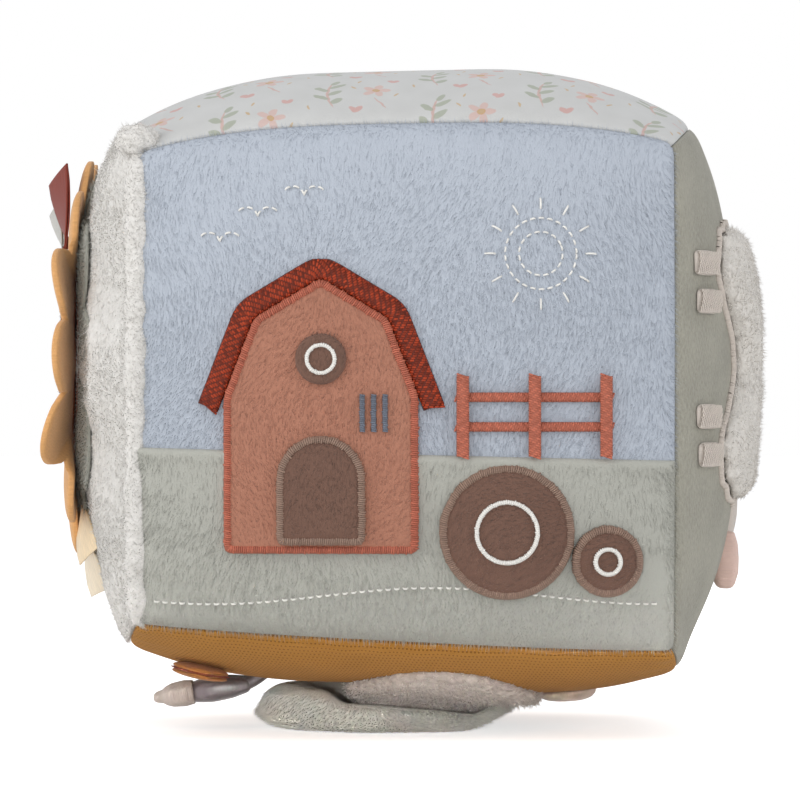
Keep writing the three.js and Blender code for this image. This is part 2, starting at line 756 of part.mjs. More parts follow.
// A ring of cloth around the flower's middle, from an inner radius to a wavy outer one
function wavyRing(inner, outer, count, cells, lift, thickness) {
  const rows = [];
  for (let cell = 0; cell <= cells; cell += 1) {
    for (let i = 0; i < count; i += 1) {
      const angle = (2 * Math.PI * i) / count;
      const radius = THREE.MathUtils.lerp(inner, outer(angle), cell / cells);
      const spot = [radius * Math.cos(angle), FLOWER_Z + radius * Math.sin(angle)];
      rows.push([spot, lift(radius, angle)]);
    }
  }
  const upper = rows.map(([[x, y], height]) => onFace(left, x, y, height + thickness));
  const lower = rows.map(([[x, y], height]) => onFace(left, x, y, height));
  return closeSheet(upper, lower, rowTriangles(cells + 1, count, true));
}

function addFlower() {
  const leaf = (angle) =>
    THREE.MathUtils.lerp(LEAF_NOTCH, LEAF_TIP, petalWave(angle, LEAVES) ** 0.7);
  const petal = (angle) =>
    THREE.MathUtils.lerp(PETAL_NOTCH, PETAL_TIP, petalWave(angle, PETALS) ** 0.6);
  const flat = () => GAP;
  const middle = at(0, FLOWER_Z);
  const leafRing = wavyRing(BASE_RADIUS + GAP, leaf, 6 * LEAVES, 2, flat, LEAF_THICKNESS);
  add("flower_leaves", leafRing, cloths.greyGreen);
  const base = circle(middle, BASE_RADIUS, 24);
  add("flower_base", patch(left, middle, base, LEAF_THICKNESS, { rings: 3 }), cloths.rust);
  const ring = wavyRing(PETAL_ROOT, petal, 6 * PETALS, 2, petalLift, PETAL_THICKNESS);
  add("petal_ring", ring, cloths.mustard);
  const disc = circle(middle, CENTRE_RADIUS, 24);
  const centre = { rings: 3, lift: flowerBack, crown: CENTRE_CROWN + PETAL_THICKNESS, edge: 0 };
  add("flower_centre", patch(left, middle, disc, CENTRE_EDGE, centre), cloths.brown);
}

// A ribbon rooted on the petals, in the notch at an angle around the flower
function addRibbon(name, radius, angle, along, length, width, colour) {
  const spot = [radius * Math.cos(angle), FLOWER_Z + radius * Math.sin(angle)];
  const lift = petalLift(radius, angle) + PETAL_THICKNESS + GAP + width / 5;
  const root = onFace(left, ...spot, lift);
  const hinge = hingeAt(root, along, new THREE.Vector3(-0.5, -1, 0));
  add(name, pad(length, width, RIBBON, RIBBON_SHARES), colour, hinge);
}

// A tag that lies on the wool under the petals and points away from the flower's middle
function addTag(name, radius, angle, colour) {
  const spot = (r) => [r * Math.cos(angle), FLOWER_Z + r * Math.sin(angle)];
  const lift = flowerBack + RIBBON / 2;
  const root = onFace(left, ...spot(radius), lift);
  const tip = onFace(left, ...spot(radius + TAG_LENGTH), lift);
  const line = new THREE.Vector3()
    .addScaledVector(left.across, Math.sin(angle))
    .addScaledVector(left.up, -Math.cos(angle));
  const hinge = hingeAt(root, tip.sub(root), line);
  add(name, pad(TAG_LENGTH, TAG_WIDTH, RIBBON, RIBBON_SHARES), colour, hinge);
}

function addRibbons() {
  const pitch = (2 * Math.PI) / PETALS;
  const seat = PETAL_ROOT + RIBBON_SEAT;
  const upwards = new THREE.Vector3(-0.14, 0, 1);
  const outwards = new THREE.Vector3(-0.25, 0, 1);
  addRibbon(
    "ribbon_rust", seat, 2.5 * pitch, upwards,
    RUST_RIBBON_LENGTH, RUST_RIBBON_WIDTH, cloths.rust,
  );
  addRibbon(
    "ribbon_grey_green", seat, 4 * pitch, outwards,
    GREY_RIBBON_LENGTH, GREY_RIBBON_WIDTH, cloths.greyGreen,
  );
  addTag("ribbon_peach", PEACH_TAG_RADIUS, -2.5 * pitch, cloths.peach);
  addTag("ribbon_beige", BEIGE_TAG_RADIUS, -3.2 * pitch, cloths.peach);
}

// Pieces below

// Height above the floor of the underside of the block, at a place measured from its middle
const underside = (x, y) => onFace(bottom, x, -y).z + CENTRE_HEIGHT;

// How far the woolly belly hangs below its patch: round, but pressed flat where it rests
function bellyAt(x, y) {
  const share = Math.min(1, Math.hypot(x - FLEECE_BELLY_X, y) / FLEECE_BELLY_RADIUS);
  const room = underside(x, y) - GAP - FLEECE_PATCH - BELLY_REST;
  return Math.min(FLEECE_BELLY * (1 - share ** 2) ** 2, room);
}

// How much of the woolly patch lies over a place on the flap: 1 under it, 0 well beside it
function woolOver(x, y) {
  const across = (x - FLEECE_X) / FLEECE_HALF_WIDTH;
  const along = (y - FLEECE_Y) / FLEECE_HALF_DEPTH;
  return 1 - THREE.MathUtils.smoothstep(Math.hypot(across, along), 1, 1.25);
}

function addFlap() {
  const axisZ = underside(FLAP_X, FLAP_ROOT_Y) - GAP - FLAP_HEM;
  // the outline is round, cut straight at the hinge behind
  const outline = Array.from({ length: FLAP_POINTS }, (_, i) => {
    const angle = (2 * Math.PI * i) / FLAP_POINTS;
    const reach = Math.sin(angle) > 0 ? FLAP_ROOT_Y / Math.sin(angle) : FLAP_RADIUS;
    const radius = Math.min(FLAP_RADIUS, reach);
    return at(FLAP_X + radius * Math.cos(angle), radius * Math.sin(angle));
  });
  const { smoothstep, lerp } = THREE.MathUtils;
  const layers = (spot, share) => {
    const root = smoothstep(spot.y, FLAP_ROOT_Y - FLAP_BLEND, FLAP_ROOT_Y);
    const wool = (GAP + FLEECE_PATCH) * woolOver(spot.x, spot.y) + bellyAt(spot.x, spot.y);
    const room = underside(spot.x, spot.y) - wool - GAP - FLAP_LINING - GAP;
    const high = Math.min(lerp(FLAP_MIDDLE, room, LINING_FIT_SHARE), FLAP_RIM);
    // the stuffed rim is round: its edge is drawn in from above and from below
    const round = Math.sqrt(1 - Math.max(0, (share - RIM_SHARE) / (1 - RIM_SHARE)) ** 2);
    const middle = lerp(high / 2, axisZ, root);
    const half = lerp((high / 2) * lerp(round, 1, FLAP_HEM / FLAP_RIM), FLAP_HEM, root);
    return [middle + half, Math.max(0, middle - half)];
  };
  const place = (share) => outline.map((p) => at(FLAP_X, 0).lerp(p, share));
  const sheet = (shares, heights) => {
    const spots = [at(FLAP_X, 0), ...shares.flatMap(place)];
    const steps = [0, ...shares.flatMap((s) => outline.map(() => s))];
    const rows = spots.map((spot, i) => heights(spot, steps[i]));
    const layer = (k) =>
      spots.map((p, i) => new THREE.Vector3(p.x, p.y, rows[i][k] - CENTRE_HEIGHT));
    return closeSheet(layer(0), layer(1), discTriangles(shares.length, FLAP_POINTS));
  };
  add("flap_plush", sheet(FLAP_RING_SHARES, layers), cloths.ground);
  const lined = (spot, share) => {
    const over = layers(spot, share)[0] + GAP;
    return [over + FLAP_LINING, over];
  };
  add("flap_lining", sheet(FLAP_RING_SHARES.slice(0, LINING_RINGS), lined), cloths.knit);
}

function addLimb() {
  const rootHeight = underside(LIMB_ROOT_X, LIMB_Y) - GAP - LIMB_ROOT_THICKNESS / 2;
  const root = new THREE.Vector3(LIMB_ROOT_X, LIMB_Y, rootHeight - CENTRE_HEIGHT);
  const outwards = new THREE.Vector3(-1, 0, -LIMB_DROOP_SHARE);
  const hinge = hingeAt(root, outwards, new THREE.Vector3(0, -1, 0));
  const start = [0, LIMB_ROOT_WIDTH_SHARE, LIMB_ROOT_THICKNESS / LIMB_THICKNESS];
  const length = LIMB_LENGTH - TIP_LENGTH;
  const limb = pad(length, LIMB_WIDTH, LIMB_THICKNESS, [start, ...LIMB_SHARES]);
  add("grey_limb", limb, cloths.greySatin, hinge);
  const tip = pad(TIP_LENGTH, LIMB_WIDTH, LIMB_THICKNESS, TIP_SHARES);
  add("cream_tip", tip, cloths.cream, hinge).position.x = length + GAP;
}

function addTab() {
  const half = (TAB_THICKNESS + GAP + TAB_LINING) / 2;
  const root = onFace(bottom, TAB_X, -TAB_ROOT_Y, GAP + half);
  const ends = [-1, 1].map((side) => onFace(bottom, TAB_X + (side * TAB_WIDTH) / 2, -TAB_ROOT_Y));
  const hinge = hingeAt(root, new THREE.Vector3(0, -1, 0), ends[1].sub(ends[0]));
  const outer = pad(TAB_LENGTH, TAB_WIDTH, TAB_THICKNESS, LEAF_SHARES);
  add("mustard_tab", outer, cloths.mustard, hinge).position.z = half - TAB_THICKNESS / 2;
  const inner = pad(TAB_LENGTH, TAB_WIDTH, TAB_LINING, LEAF_SHARES);
  add("mustard_tab_lining", inner, cloths.rust, hinge).position.z = TAB_LINING / 2 - half;
}

function addUnderside() {
  const fleece = at(FLEECE_X, -FLEECE_Y);
  const outline = ellipse(fleece, FLEECE_HALF_WIDTH, FLEECE_HALF_DEPTH, 24);
  const bulge = (p) => bellyAt(p.x, -p.y);
  const rounded = { rings: 7, edge: FLEECE_PATCH / 2, bulge };
  add("fleece_patch", patch(bottom, fleece, outline, FLEECE_PATCH, rounded), cloths.wool);
  const snout = at(SNOUT_X, -SNOUT_Y);
  const oval = ellipse(snout, SNOUT_HALF_WIDTH, SNOUT_HALF_DEPTH, 16);
  add("fleece_snout", patch(bottom, snout, oval, SNOUT_THICKNESS, { rings: 2 }), cloths.blush);
  addFlap();
  addLimb();
  addTab();
}

addFilling();
addRattle();
addCover();
addBarn();
addFence();
addBale("bale_large", at(BIG_BALE_X, BIG_BALE_Z), BIG_BALE_RADIUS, BIG_BALE_RING);
addBale("bale_small", at(SMALL_BALE_X, SMALL_BALE_Z), SMALL_BALE_RADIUS, SMALL_BALE_RING);
addSheep();
addFlower();
addRibbons();
addUnderside();

export default part;
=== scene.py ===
import json
import math

import bmesh
import bpy
import numpy as np
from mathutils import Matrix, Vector

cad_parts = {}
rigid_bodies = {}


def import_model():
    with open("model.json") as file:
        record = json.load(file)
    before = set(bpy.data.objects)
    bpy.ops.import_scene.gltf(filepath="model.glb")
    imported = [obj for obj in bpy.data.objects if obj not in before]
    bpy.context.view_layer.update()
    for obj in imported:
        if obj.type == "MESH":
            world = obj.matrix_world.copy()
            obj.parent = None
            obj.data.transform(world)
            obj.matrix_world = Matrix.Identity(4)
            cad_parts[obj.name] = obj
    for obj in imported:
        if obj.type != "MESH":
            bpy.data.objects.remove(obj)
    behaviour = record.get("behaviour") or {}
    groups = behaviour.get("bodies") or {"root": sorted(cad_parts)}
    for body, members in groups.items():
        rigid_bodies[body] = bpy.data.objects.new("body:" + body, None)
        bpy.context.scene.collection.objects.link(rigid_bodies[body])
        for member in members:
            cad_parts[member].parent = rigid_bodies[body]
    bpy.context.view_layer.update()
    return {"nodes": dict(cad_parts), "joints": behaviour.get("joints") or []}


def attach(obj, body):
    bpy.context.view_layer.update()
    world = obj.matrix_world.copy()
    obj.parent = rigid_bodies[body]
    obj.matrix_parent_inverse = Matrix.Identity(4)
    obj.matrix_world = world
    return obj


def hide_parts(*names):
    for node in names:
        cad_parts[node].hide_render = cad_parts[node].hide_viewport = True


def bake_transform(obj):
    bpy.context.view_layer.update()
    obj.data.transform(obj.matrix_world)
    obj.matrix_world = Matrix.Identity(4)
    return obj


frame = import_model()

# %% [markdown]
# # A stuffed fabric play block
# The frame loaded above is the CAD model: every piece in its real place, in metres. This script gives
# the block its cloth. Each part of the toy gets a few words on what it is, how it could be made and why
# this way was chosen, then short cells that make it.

rng = np.random.default_rng(7)
MM = 0.001

# %% [markdown]
# ## The shape of a stuffed cube
# Six cloth squares sewn edge to edge and filled tightly don't give a cube: each face domes, and the seams
# bow outwards between the corners. One formula gives that shape for every point of a unit cube, so all
# panels, and everything sewn on them, agree to the last millimetre. A simulation could blow the cube up
# too, but its seams wouldn't land where the CAD solids are.

# %% The stuffed cube's formula
# Half sizes from seam to seam and the middle, in millimetres; how far each pair of faces domes, low side
# and high side; how far the seams bow, with the front's own; how far top and bottom lean from left to
# right; and how much of the dome the lower left and right lose.
HALF = np.array([65.0, 65.0, 59.15])
CENTRE = np.array([0.0, 0.0, 83.65])
SWELL = np.array([[15.0, 16.5], [13.0, 13.0], [13.5, 20.5]])
SEAM_BOW = [6.0, 4.0, 6.0]
FRONT_BOW = np.array([[0.0, 0.0], [0.0, 0.0], [0.9, 6.0]])
TOP_LEAN, BOTTOM_LEAN = 1.2, 3.3
LOWER_SLACK = [0.4, 0.6]


def block_points(q, depth=0.0):
    """Points in millimetres of the stuffed block for points q of a unit cube, a depth below its cloth."""
    q = np.asarray(q, float)
    out = np.empty_like(q)
    dome = 1 - np.abs(q) ** 3
    for k in range(3):
        high = (q[..., k] > 0).astype(int)
        rise = SWELL[k][high]
        for a in range(3):
            if a != k:
                rise = rise * dome[..., a]
        for a, b in [other for other in ((0, 1), (1, 0), (0, 2), (2, 0), (1, 2), (2, 1)) if k not in other]:
            bow = SEAM_BOW[k]
            if a == 1:
                bow = np.where(q[..., 1] <= 0, FRONT_BOW[k][high], bow)
            rise = rise + bow * q[..., a] ** 2 * dome[..., b]
        if k == 0:
            low = np.clip((-q[..., 2] - 0.35) / 0.65, 0, 1)
            rise = rise * (1 - np.where(high == 1, LOWER_SLACK[1], LOWER_SLACK[0]) * low**2)
        out[..., k] = (HALF[k] - depth) * q[..., k] + np.sign(q[..., k]) * q[..., k] ** 2 * rise
    lean = TOP_LEAN * (1 + q[..., 2]) - BOTTOM_LEAN * (1 - q[..., 2])
    out[..., 2] += q[..., 0] * lean / 2
    return out + CENTRE


print("top of the block:", block_points([0, 0, 1.0])[2], "mm above the floor")

# %% [markdown]
# A face of the block has a normal and two directions that lie in it. `spots` finds the cloth under a
# place of the face, so an applique can be drawn flat, in millimetres from the face's middle, and laid
# on the domed cloth with a lift. Slow waves and small puckers beside the seams keep the cloth from
# looking blown out of plastic.

# %% Faces of the cover
WAVES = rng.uniform(0, 6.28, (6, 8))


class Face:
    """One side of the cover: places on it are (x, y) in millimetres from its middle."""

    def __init__(self, number, normal, across, up, puckers=0.3):
        self.number, self.puckers = number, puckers
        self.normal, self.across, self.up = (np.array(v, float) for v in (normal, across, up))
        self.half_across, self.half_up = abs(HALF @ self.across), abs(HALF @ self.up)

    def cube(self, u, v):
        u, v = np.broadcast_arrays(np.asarray(u, float), np.asarray(v, float))
        return self.normal + u[..., None] * self.across + v[..., None] * self.up

    def relief(self, u, v):
        """How far the cloth lies off the smooth shape, in millimetres."""
        p = WAVES[self.number]
        x, y = u * self.half_across, v * self.half_up
        slow = np.sin(x / 13 + p[0] + 1.2 * np.sin(y / 17 + p[1])) * np.sin(y / 15 + p[2])
        fine = np.sin(x / 7 + y / 9 + p[3]) * np.sin(y / 6 - x / 11 + p[4])
        made = 0.25 * slow + 0.12 * fine
        for along, near in ((x, self.half_up * (1 - np.abs(v))), (y, self.half_across * (1 - np.abs(u)))):
            tuft = np.sin(along / 1.9 + p[5] + 2 * np.sin(along / 8 + p[6]))
            made = made + self.puckers * tuft * np.exp(-near / 5) * np.clip(near / 1.5, 0, 1)
        return made * np.clip(self.half_up * (1 - np.abs(v)) / 4, 0, 1)

    def cloth(self, u, v, depth=0.0):
        points = block_points(self.cube(u, v), depth)
        return points + self.relief(np.asarray(u), np.asarray(v))[..., None] * self.normal

    def shares(self, x, y):
        """The shares u and v of the cloth's point at (x, y), found by stepping towards it."""
        x, y = np.broadcast_arrays(np.asarray(x, float), np.asarray(y, float))
        u, v = np.clip(x / self.half_across, -1, 1), np.clip(y / self.half_up, -1, 1)
        for _ in range(14):
            point = block_points(self.cube(u, v)) - CENTRE
            u = np.clip(u + (x - point @ self.across) / self.half_across, -1, 1)
            v = np.clip(v + (y - point @ self.up) / self.half_up, -1, 1)
        return u, v

    def spots(self, x, y, lift=0.0):
        """Points of the cloth at places (x, y) of the face, lifted off it along the face's normal."""
        u, v = self.shares(x, y)
        height = (self.cloth(u, v) - CENTRE) @ self.normal + np.asarray(lift, float)
        x, y, height = np.broadcast_arrays(np.asarray(x, float), np.asarray(y, float), height)
        flat = x[..., None] * self.across + y[..., None] * self.up
        return CENTRE + flat + height[..., None] * self.normal

    def outward(self, x, y):
        """The cloth's own normal at places of the face."""
        step = 0.5
        a = self.spots(x + step, y) - self.spots(x - step, y)
        b = self.spots(x, y + step) - self.spots(x, y - step)
        n = np.cross(a, b)
        n /= np.linalg.norm(n, axis=-1, keepdims=True)
        return n * np.sign(n @ self.normal)[..., None]


left = Face(0, (-1, 0, 0), (0, -1, 0), (0, 0, 1), 0.2)
right = Face(1, (1, 0, 0), (0, 1, 0), (0, 0, 1))
front = Face(2, (0, -1, 0), (1, 0, 0), (0, 0, 1), 0.4)
back = Face(3, (0, 1, 0), (-1, 0, 0), (0, 0, 1), 0.45)
top = Face(4, (0, 0, 1), (1, 0, 0), (0, 1, 0), 0.4)
bottom = Face(5, (0, 0, -1), (1, 0, 0), (0, -1, 0))
print("middle of the front:", front.spots(0.0, 0.0).round(1))

# %% Meshes from points
def placed(name, mesh):
    """A mesh as an object of the scene."""
    made = bpy.data.objects.new(name, mesh)
    bpy.context.scene.collection.objects.link(made)
    return made


def make_object(name, points, faces, spots=None, attributes=None):
    """A smooth mesh object at the origin. spots, one (x, y) for each point, becomes the UV map cloth."""
    name += "_soft" if name in frame["nodes"] else ""
    mesh = bpy.data.meshes.new(name)
    points = np.asarray(points, float) * MM
    mesh.from_pydata(points.tolist(), [], [list(map(int, face)) for face in faces])
    mesh.update()
    corners = np.zeros(len(mesh.loops), np.int64)
    mesh.loops.foreach_get("vertex_index", corners)
    if spots is not None:
        layer = mesh.uv_layers.new(name="cloth")
        layer.data.foreach_set("uv", np.asarray(spots, float)[corners].astype(np.float32).ravel())
    for key, values in (attributes or {}).items():
        mesh.attributes.new(key, "FLOAT", "POINT").data.foreach_set("value", np.asarray(values, np.float32))
    mesh.polygons.foreach_set("use_smooth", [True] * len(mesh.polygons))
    return placed(name, mesh)


def volume(points, faces):
    """Six times the volume inside a closed mesh: negative where its faces look inwards."""
    total = 0.0
    for size in set(map(len, faces)):
        some = np.array([face for face in faces if len(face) == size])
        for k in range(1, size - 1):
            a, b, c = (points[some[:, i]] for i in (0, k, k + 1))
            total += float((a * np.cross(b, c)).sum())
    return total


def outwards(points, faces):
    """A closed mesh's faces, turned where they look inwards."""
    return [face[::-1] for face in faces] if volume(points - points.mean(0), faces) < 0 else faces


def closed_sheet(name, outer, inner, faces, spots, attributes=None):
    """Cloth between two layers of matching points, walled along its open edges, faces outwards."""
    count = len(outer)
    edges = {(face[i], face[(i + 1) % len(face)]) for face in faces for i in range(len(face))}
    rim = [(a, b) for a, b in edges if (b, a) not in edges]
    shell = list(faces) + [[i + count for i in face[::-1]] for face in faces]
    shell += [[b, a, a + count, b + count] for a, b in sorted(rim)]
    points = np.concatenate([outer, inner])
    doubled = {key: np.concatenate([values, values]) for key, values in (attributes or {}).items()}
    return make_object(name, points, outwards(points, shell), np.concatenate([spots, spots]), doubled)


def grid_faces(rows, columns, closed=False):
    """Squares between neighbouring rows of points; the columns may run round and meet."""
    i, j = np.meshgrid(np.arange(rows - 1), np.arange(columns - (not closed)), indexing="ij")
    a, b = i * columns + j, i * columns + (j + 1) % columns
    return np.stack([a, b, b + columns, a + columns], -1).reshape(-1, 4).tolist()


def disc_faces(rings, count):
    """Faces of a disc: a middle point, then rings of equally many points."""
    hub = [[0, 1 + (i + 1) % count, 1 + i] for i in range(count)]
    return hub + [[1 + i for i in face] for face in grid_faces(rings, count, True)]


print("a grid of 3 by 4 points has", len(grid_faces(3, 4)), "squares")
# %% [markdown]
# ## Stitches and fibres
# Satin stitch, whip stitch and pile are one small shape set down thousands of times, so Geometry Nodes
# make them. A bare mesh of points says where each stitch goes and which way it runs; the tree puts an
# arched thread on every point. Pile is scattered by the tree itself over a cloth's skin. Both trees end
# in real mesh, because instances don't travel with an exported model.

# %% A small helper for node trees
class Tree:
    """A Geometry Nodes tree that a geometry goes through, with number inputs and a material."""

    def __init__(self, name, sizes):
        self.group = bpy.data.node_groups.new(name, "GeometryNodeTree")
        self.port("Geometry", "Geometry")
        for label, value in sizes.items():
            self.port(label, "Int" if isinstance(value, int) else "Float").default_value = value
        self.port("Material", "Material")
        self.port("Geometry", "Geometry", "OUTPUT")
        self.ports = self.add("NodeGroupInput").outputs

    def port(self, name, kind, way="INPUT"):
        return self.group.interface.new_socket(name, in_out=way, socket_type="NodeSocket" + kind)

    def add(self, kind, inputs=None, **settings):
        """Adds a node: its settings first, then its sockets, each a value, a socket or a whole node."""
        made = self.group.nodes.new(kind)
        for key, value in settings.items():
            setattr(made, key, value)
        for key, value in (inputs or {}).items():
            if isinstance(value, bpy.types.Node):
                value = value.outputs[0]
            if isinstance(value, bpy.types.NodeSocket):
                self.group.links.new(value, made.inputs[key])
            else:
                made.inputs[key].default_value = value
        return made

    def maths(self, operation, a, b):
        return self.add("ShaderNodeMath", {0: a, 1: b}, operation=operation)

    def vector(self, operation, a, key, b):
        return self.add("ShaderNodeVectorMath", {0: a, key: b}, operation=operation)

    def named(self, name, kind="FLOAT_VECTOR"):
        return self.add("GeometryNodeInputNamedAttribute", {"Name": name}, data_type=kind)

    def stored(self, geometry, name, value, kind, domain):
        inputs = {"Geometry": geometry, "Name": name, "Value": value}
        return self.add("GeometryNodeStoreNamedAttribute", inputs, data_type=kind, domain=domain)

    def set_down(self, points, shape, turn, size, seed):
        """Ends a tree: the shape on every point, each with its own shade, smooth and as real mesh."""
        inputs = {"Points": points, "Instance": shape, "Rotation": turn, "Scale": size}
        many = self.add("GeometryNodeInstanceOnPoints", inputs)
        shade = self.add("FunctionNodeRandomValue", {"Seed": seed}, data_type="FLOAT")
        marked = self.stored(many, "thread_shade", shade.outputs["Value"], "FLOAT", "INSTANCE")
        smooth = self.add("GeometryNodeSetShadeSmooth", {"Geometry": marked})
        real = self.add("GeometryNodeRealizeInstances", {"Geometry": smooth})
        inputs = {"Geometry": real, "Material": self.ports["Material"]}
        self.add("NodeGroupOutput", {"Geometry": self.add("GeometryNodeSetMaterial", inputs)})
        return self.group


def applied(thing):
    """The mesh that an object's modifiers make."""
    depsgraph = bpy.context.evaluated_depsgraph_get()
    return bpy.data.meshes.new_from_object(thing.evaluated_get(depsgraph))


def grown(name, base, tree, values, material, body):
    """The plain mesh that a tree makes on a base object, which is removed; it rides on the body."""
    modifier = base.modifiers.new(tree.name, "NODES")
    modifier.node_group = tree
    values = {**values, "Material": material}
    for item in tree.interface.items_tree:
        if item.item_type == "SOCKET" and item.in_out == "INPUT" and item.name in values:
            modifier[item.identifier] = values[item.name]
    mesh = applied(base)
    bpy.data.objects.remove(base)
    mesh.name = name
    mesh.materials.clear()
    mesh.materials.append(material)
    made = placed(name, mesh)
    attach(made, body)
    return made


# %% The stitch tree
THREAD_SIDES, THREAD_ROWS, SPIKE_SIDES = 5, 4, 3
THREAD_LOOPS = 4 * THREAD_SIDES * THREAD_ROWS + 2 * THREAD_SIDES
SPIKE_LOOPS = 3 * SPIKE_SIDES + SPIKE_SIDES


def make_stitch_tree():
    """One arched thread on every point: it lies along the point's across, with its back towards up."""
    tree = Tree("stitches", {"Thread": 0.0004, "Arch": 0.0005})
    add, maths = tree.add, tree.maths
    sizes = {"Vertices": THREAD_SIDES, "Side Segments": THREAD_ROWS, "Radius": 0.5, "Depth": 1.0}
    thread = add("GeometryNodeMeshCylinder", sizes, fill_type="NGON")
    turned = add("GeometryNodeTransform", {"Geometry": thread, "Rotation": (0, math.pi / 2, 0)})
    along = add("ShaderNodeSeparateXYZ", {0: add("GeometryNodeInputPosition")})
    fall = maths("MULTIPLY", maths("POWER", maths("MULTIPLY", along, 2.0), 4.0), -1.3)
    down = add("ShaderNodeCombineXYZ", {2: fall})
    arched = add("GeometryNodeSetPosition", {"Geometry": turned, "Offset": down})
    turn = add("FunctionNodeAxesToRotation", {0: tree.named("up"), 1: tree.named("across")},
               primary_axis="Z", secondary_axis="X")
    size = add("ShaderNodeCombineXYZ", {
        0: tree.named("length", "FLOAT"), 1: tree.ports["Thread"], 2: tree.ports["Arch"]})
    return tree.set_down(tree.ports["Geometry"], arched, turn, size, 3)


stitch_tree = make_stitch_tree()
print("stitch tree:", len(stitch_tree.nodes), "nodes")

# %% [markdown]
# The pile tree scatters points over a skin, at so many fibres to the square centimetre, and sets a thin
# three-sided spike on each. A spike points mostly along the cloth's lean, so that the pile looks combed,
# with some spread of its own. Long locks come from the same tree with longer, thicker spikes.

# %% The pile tree
def make_pile_tree():
    """Thin spikes over a skin, leaning along an attribute of the skin called lean."""
    tree = Tree("pile", {"Density": 10000.0, "Length": 0.0015, "Width": 0.0002, "Stand": 0.5,
                         "Spread": 0.35, "Seed": 1})
    add, ports = tree.add, tree.ports
    strewn = add("GeometryNodeDistributePointsOnFaces", {
        "Mesh": ports["Geometry"], "Density": ports["Density"], "Seed": ports["Seed"]})
    wild = add("FunctionNodeRandomValue", {0: (-1, -1, -1), 1: (1, 1, 1), "Seed": 5},
               data_type="FLOAT_VECTOR")
    stand = tree.vector("SCALE", strewn.outputs["Normal"], "Scale", ports["Stand"])
    kept = tree.stored(strewn, "stand", stand, "FLOAT_VECTOR", "POINT")
    loose = tree.vector("SCALE", wild, "Scale", ports["Spread"])
    way = tree.vector("ADD", tree.named("stand"), 1, tree.named("lean"))
    turn = add("FunctionNodeAlignRotationToVector", {"Vector": tree.vector("ADD", way, 1, loose)}, axis="Z")
    spike = add("GeometryNodeMeshCone", {
        "Vertices": SPIKE_SIDES, "Side Segments": 1, "Fill Segments": 1, "Radius Top": 0.0,
        "Radius Bottom": 0.5, "Depth": 1.0}, fill_type="NGON")
    longer = add("FunctionNodeRandomValue", {2: 0.55, 3: 1.2, "Seed": 9}, data_type="FLOAT")
    length = tree.maths("MULTIPLY", longer.outputs[1], ports["Length"])
    size = add("ShaderNodeCombineXYZ", {0: ports["Width"], 1: ports["Width"], 2: length})
    return tree.set_down(kept, spike, turn, size, 13)


pile_tree = make_pile_tree()
print("pile tree:", len(pile_tree.nodes), "nodes")

# %% [markdown]
# A bake of thousands of loose threads wants a map of its own: each thread gets one small square of the
# picture, so that its faces have some width there and no thread borrows its neighbour's colour.

# %% A bake map for loose threads
def map_threads(thing, loops_each):
    """Gives each thread of a piece its own square of the map OFBake."""
    mesh = thing.data
    count = max(1, len(mesh.loops) // loops_each)
    side = math.ceil(math.sqrt(count))
    number = np.arange(len(mesh.loops)) // loops_each
    starts = np.zeros(len(mesh.polygons), np.int32)
    totals = np.zeros(len(mesh.polygons), np.int32)
    mesh.polygons.foreach_get("loop_start", starts)
    mesh.polygons.foreach_get("loop_total", totals)
    which = np.arange(len(mesh.loops)) - np.repeat(starts, totals)
    turn = 2 * np.pi * which / np.repeat(totals, totals)
    corner = np.stack([np.cos(turn), np.sin(turn)], -1) * 0.42 + 0.5
    uv = (np.stack([number % side, number // side], -1) + corner) / side
    mesh.uv_layers.new(name="OFBake").data.foreach_set("uv", uv.astype(np.float32).ravel())


def give_vectors(thing, **named):
    """Stores a vector for each point of a mesh under each name, for the trees to read."""
    for key, values in named.items():
        values = np.broadcast_to(np.asarray(values, np.float32), (len(thing.data.vertices), 3))
        layer = thing.data.attributes.new(key, "FLOAT_VECTOR", "POINT")
        layer.data.foreach_set("vector", np.ascontiguousarray(values).ravel())


def stitches(name, middles, across, up, lengths, thread, arch, material, body="block"):
    """Threads at points in millimetres, each along its across direction, its back towards up."""
    lengths = np.broadcast_to(np.asarray(lengths, float), (len(middles),)) * MM
    base = make_object(name + "_points", middles, [], attributes={"length": lengths})
    give_vectors(base, across=across, up=up)
    values = {"Thread": thread * MM, "Arch": arch * MM}
    made = grown(name, base, stitch_tree, values, material, body)
    map_threads(made, THREAD_LOOPS)
    return made


def pile(name, points, faces, lean, sizes, material, seed, body="block"):
    """Fibres on the skin that these points and faces make, combed along lean, one way for each point.
    sizes are fibres to the square centimetre, length, width, stand and spread."""
    base = make_object(name + "_skin", points, faces)
    give_vectors(base, lean=lean)
    density, length, width, stand, spread = sizes
    values = {"Density": density * 1e4, "Length": length * MM, "Width": width * MM, "Stand": stand,
              "Spread": spread, "Seed": seed}
    made = grown(name, base, pile_tree, values, material, body)
    map_threads(made, SPIKE_LOOPS)
    return made

# %% [markdown]
# ## Materials
# Cloth is judged by its surface, so each one is painted by noise and distance maths: nap as streaks,
# sherpa as clumps, knit as rows of small holes, satin as fine threads. A little class lets shader
# sockets be added and multiplied like numbers, which keeps the maths readable.

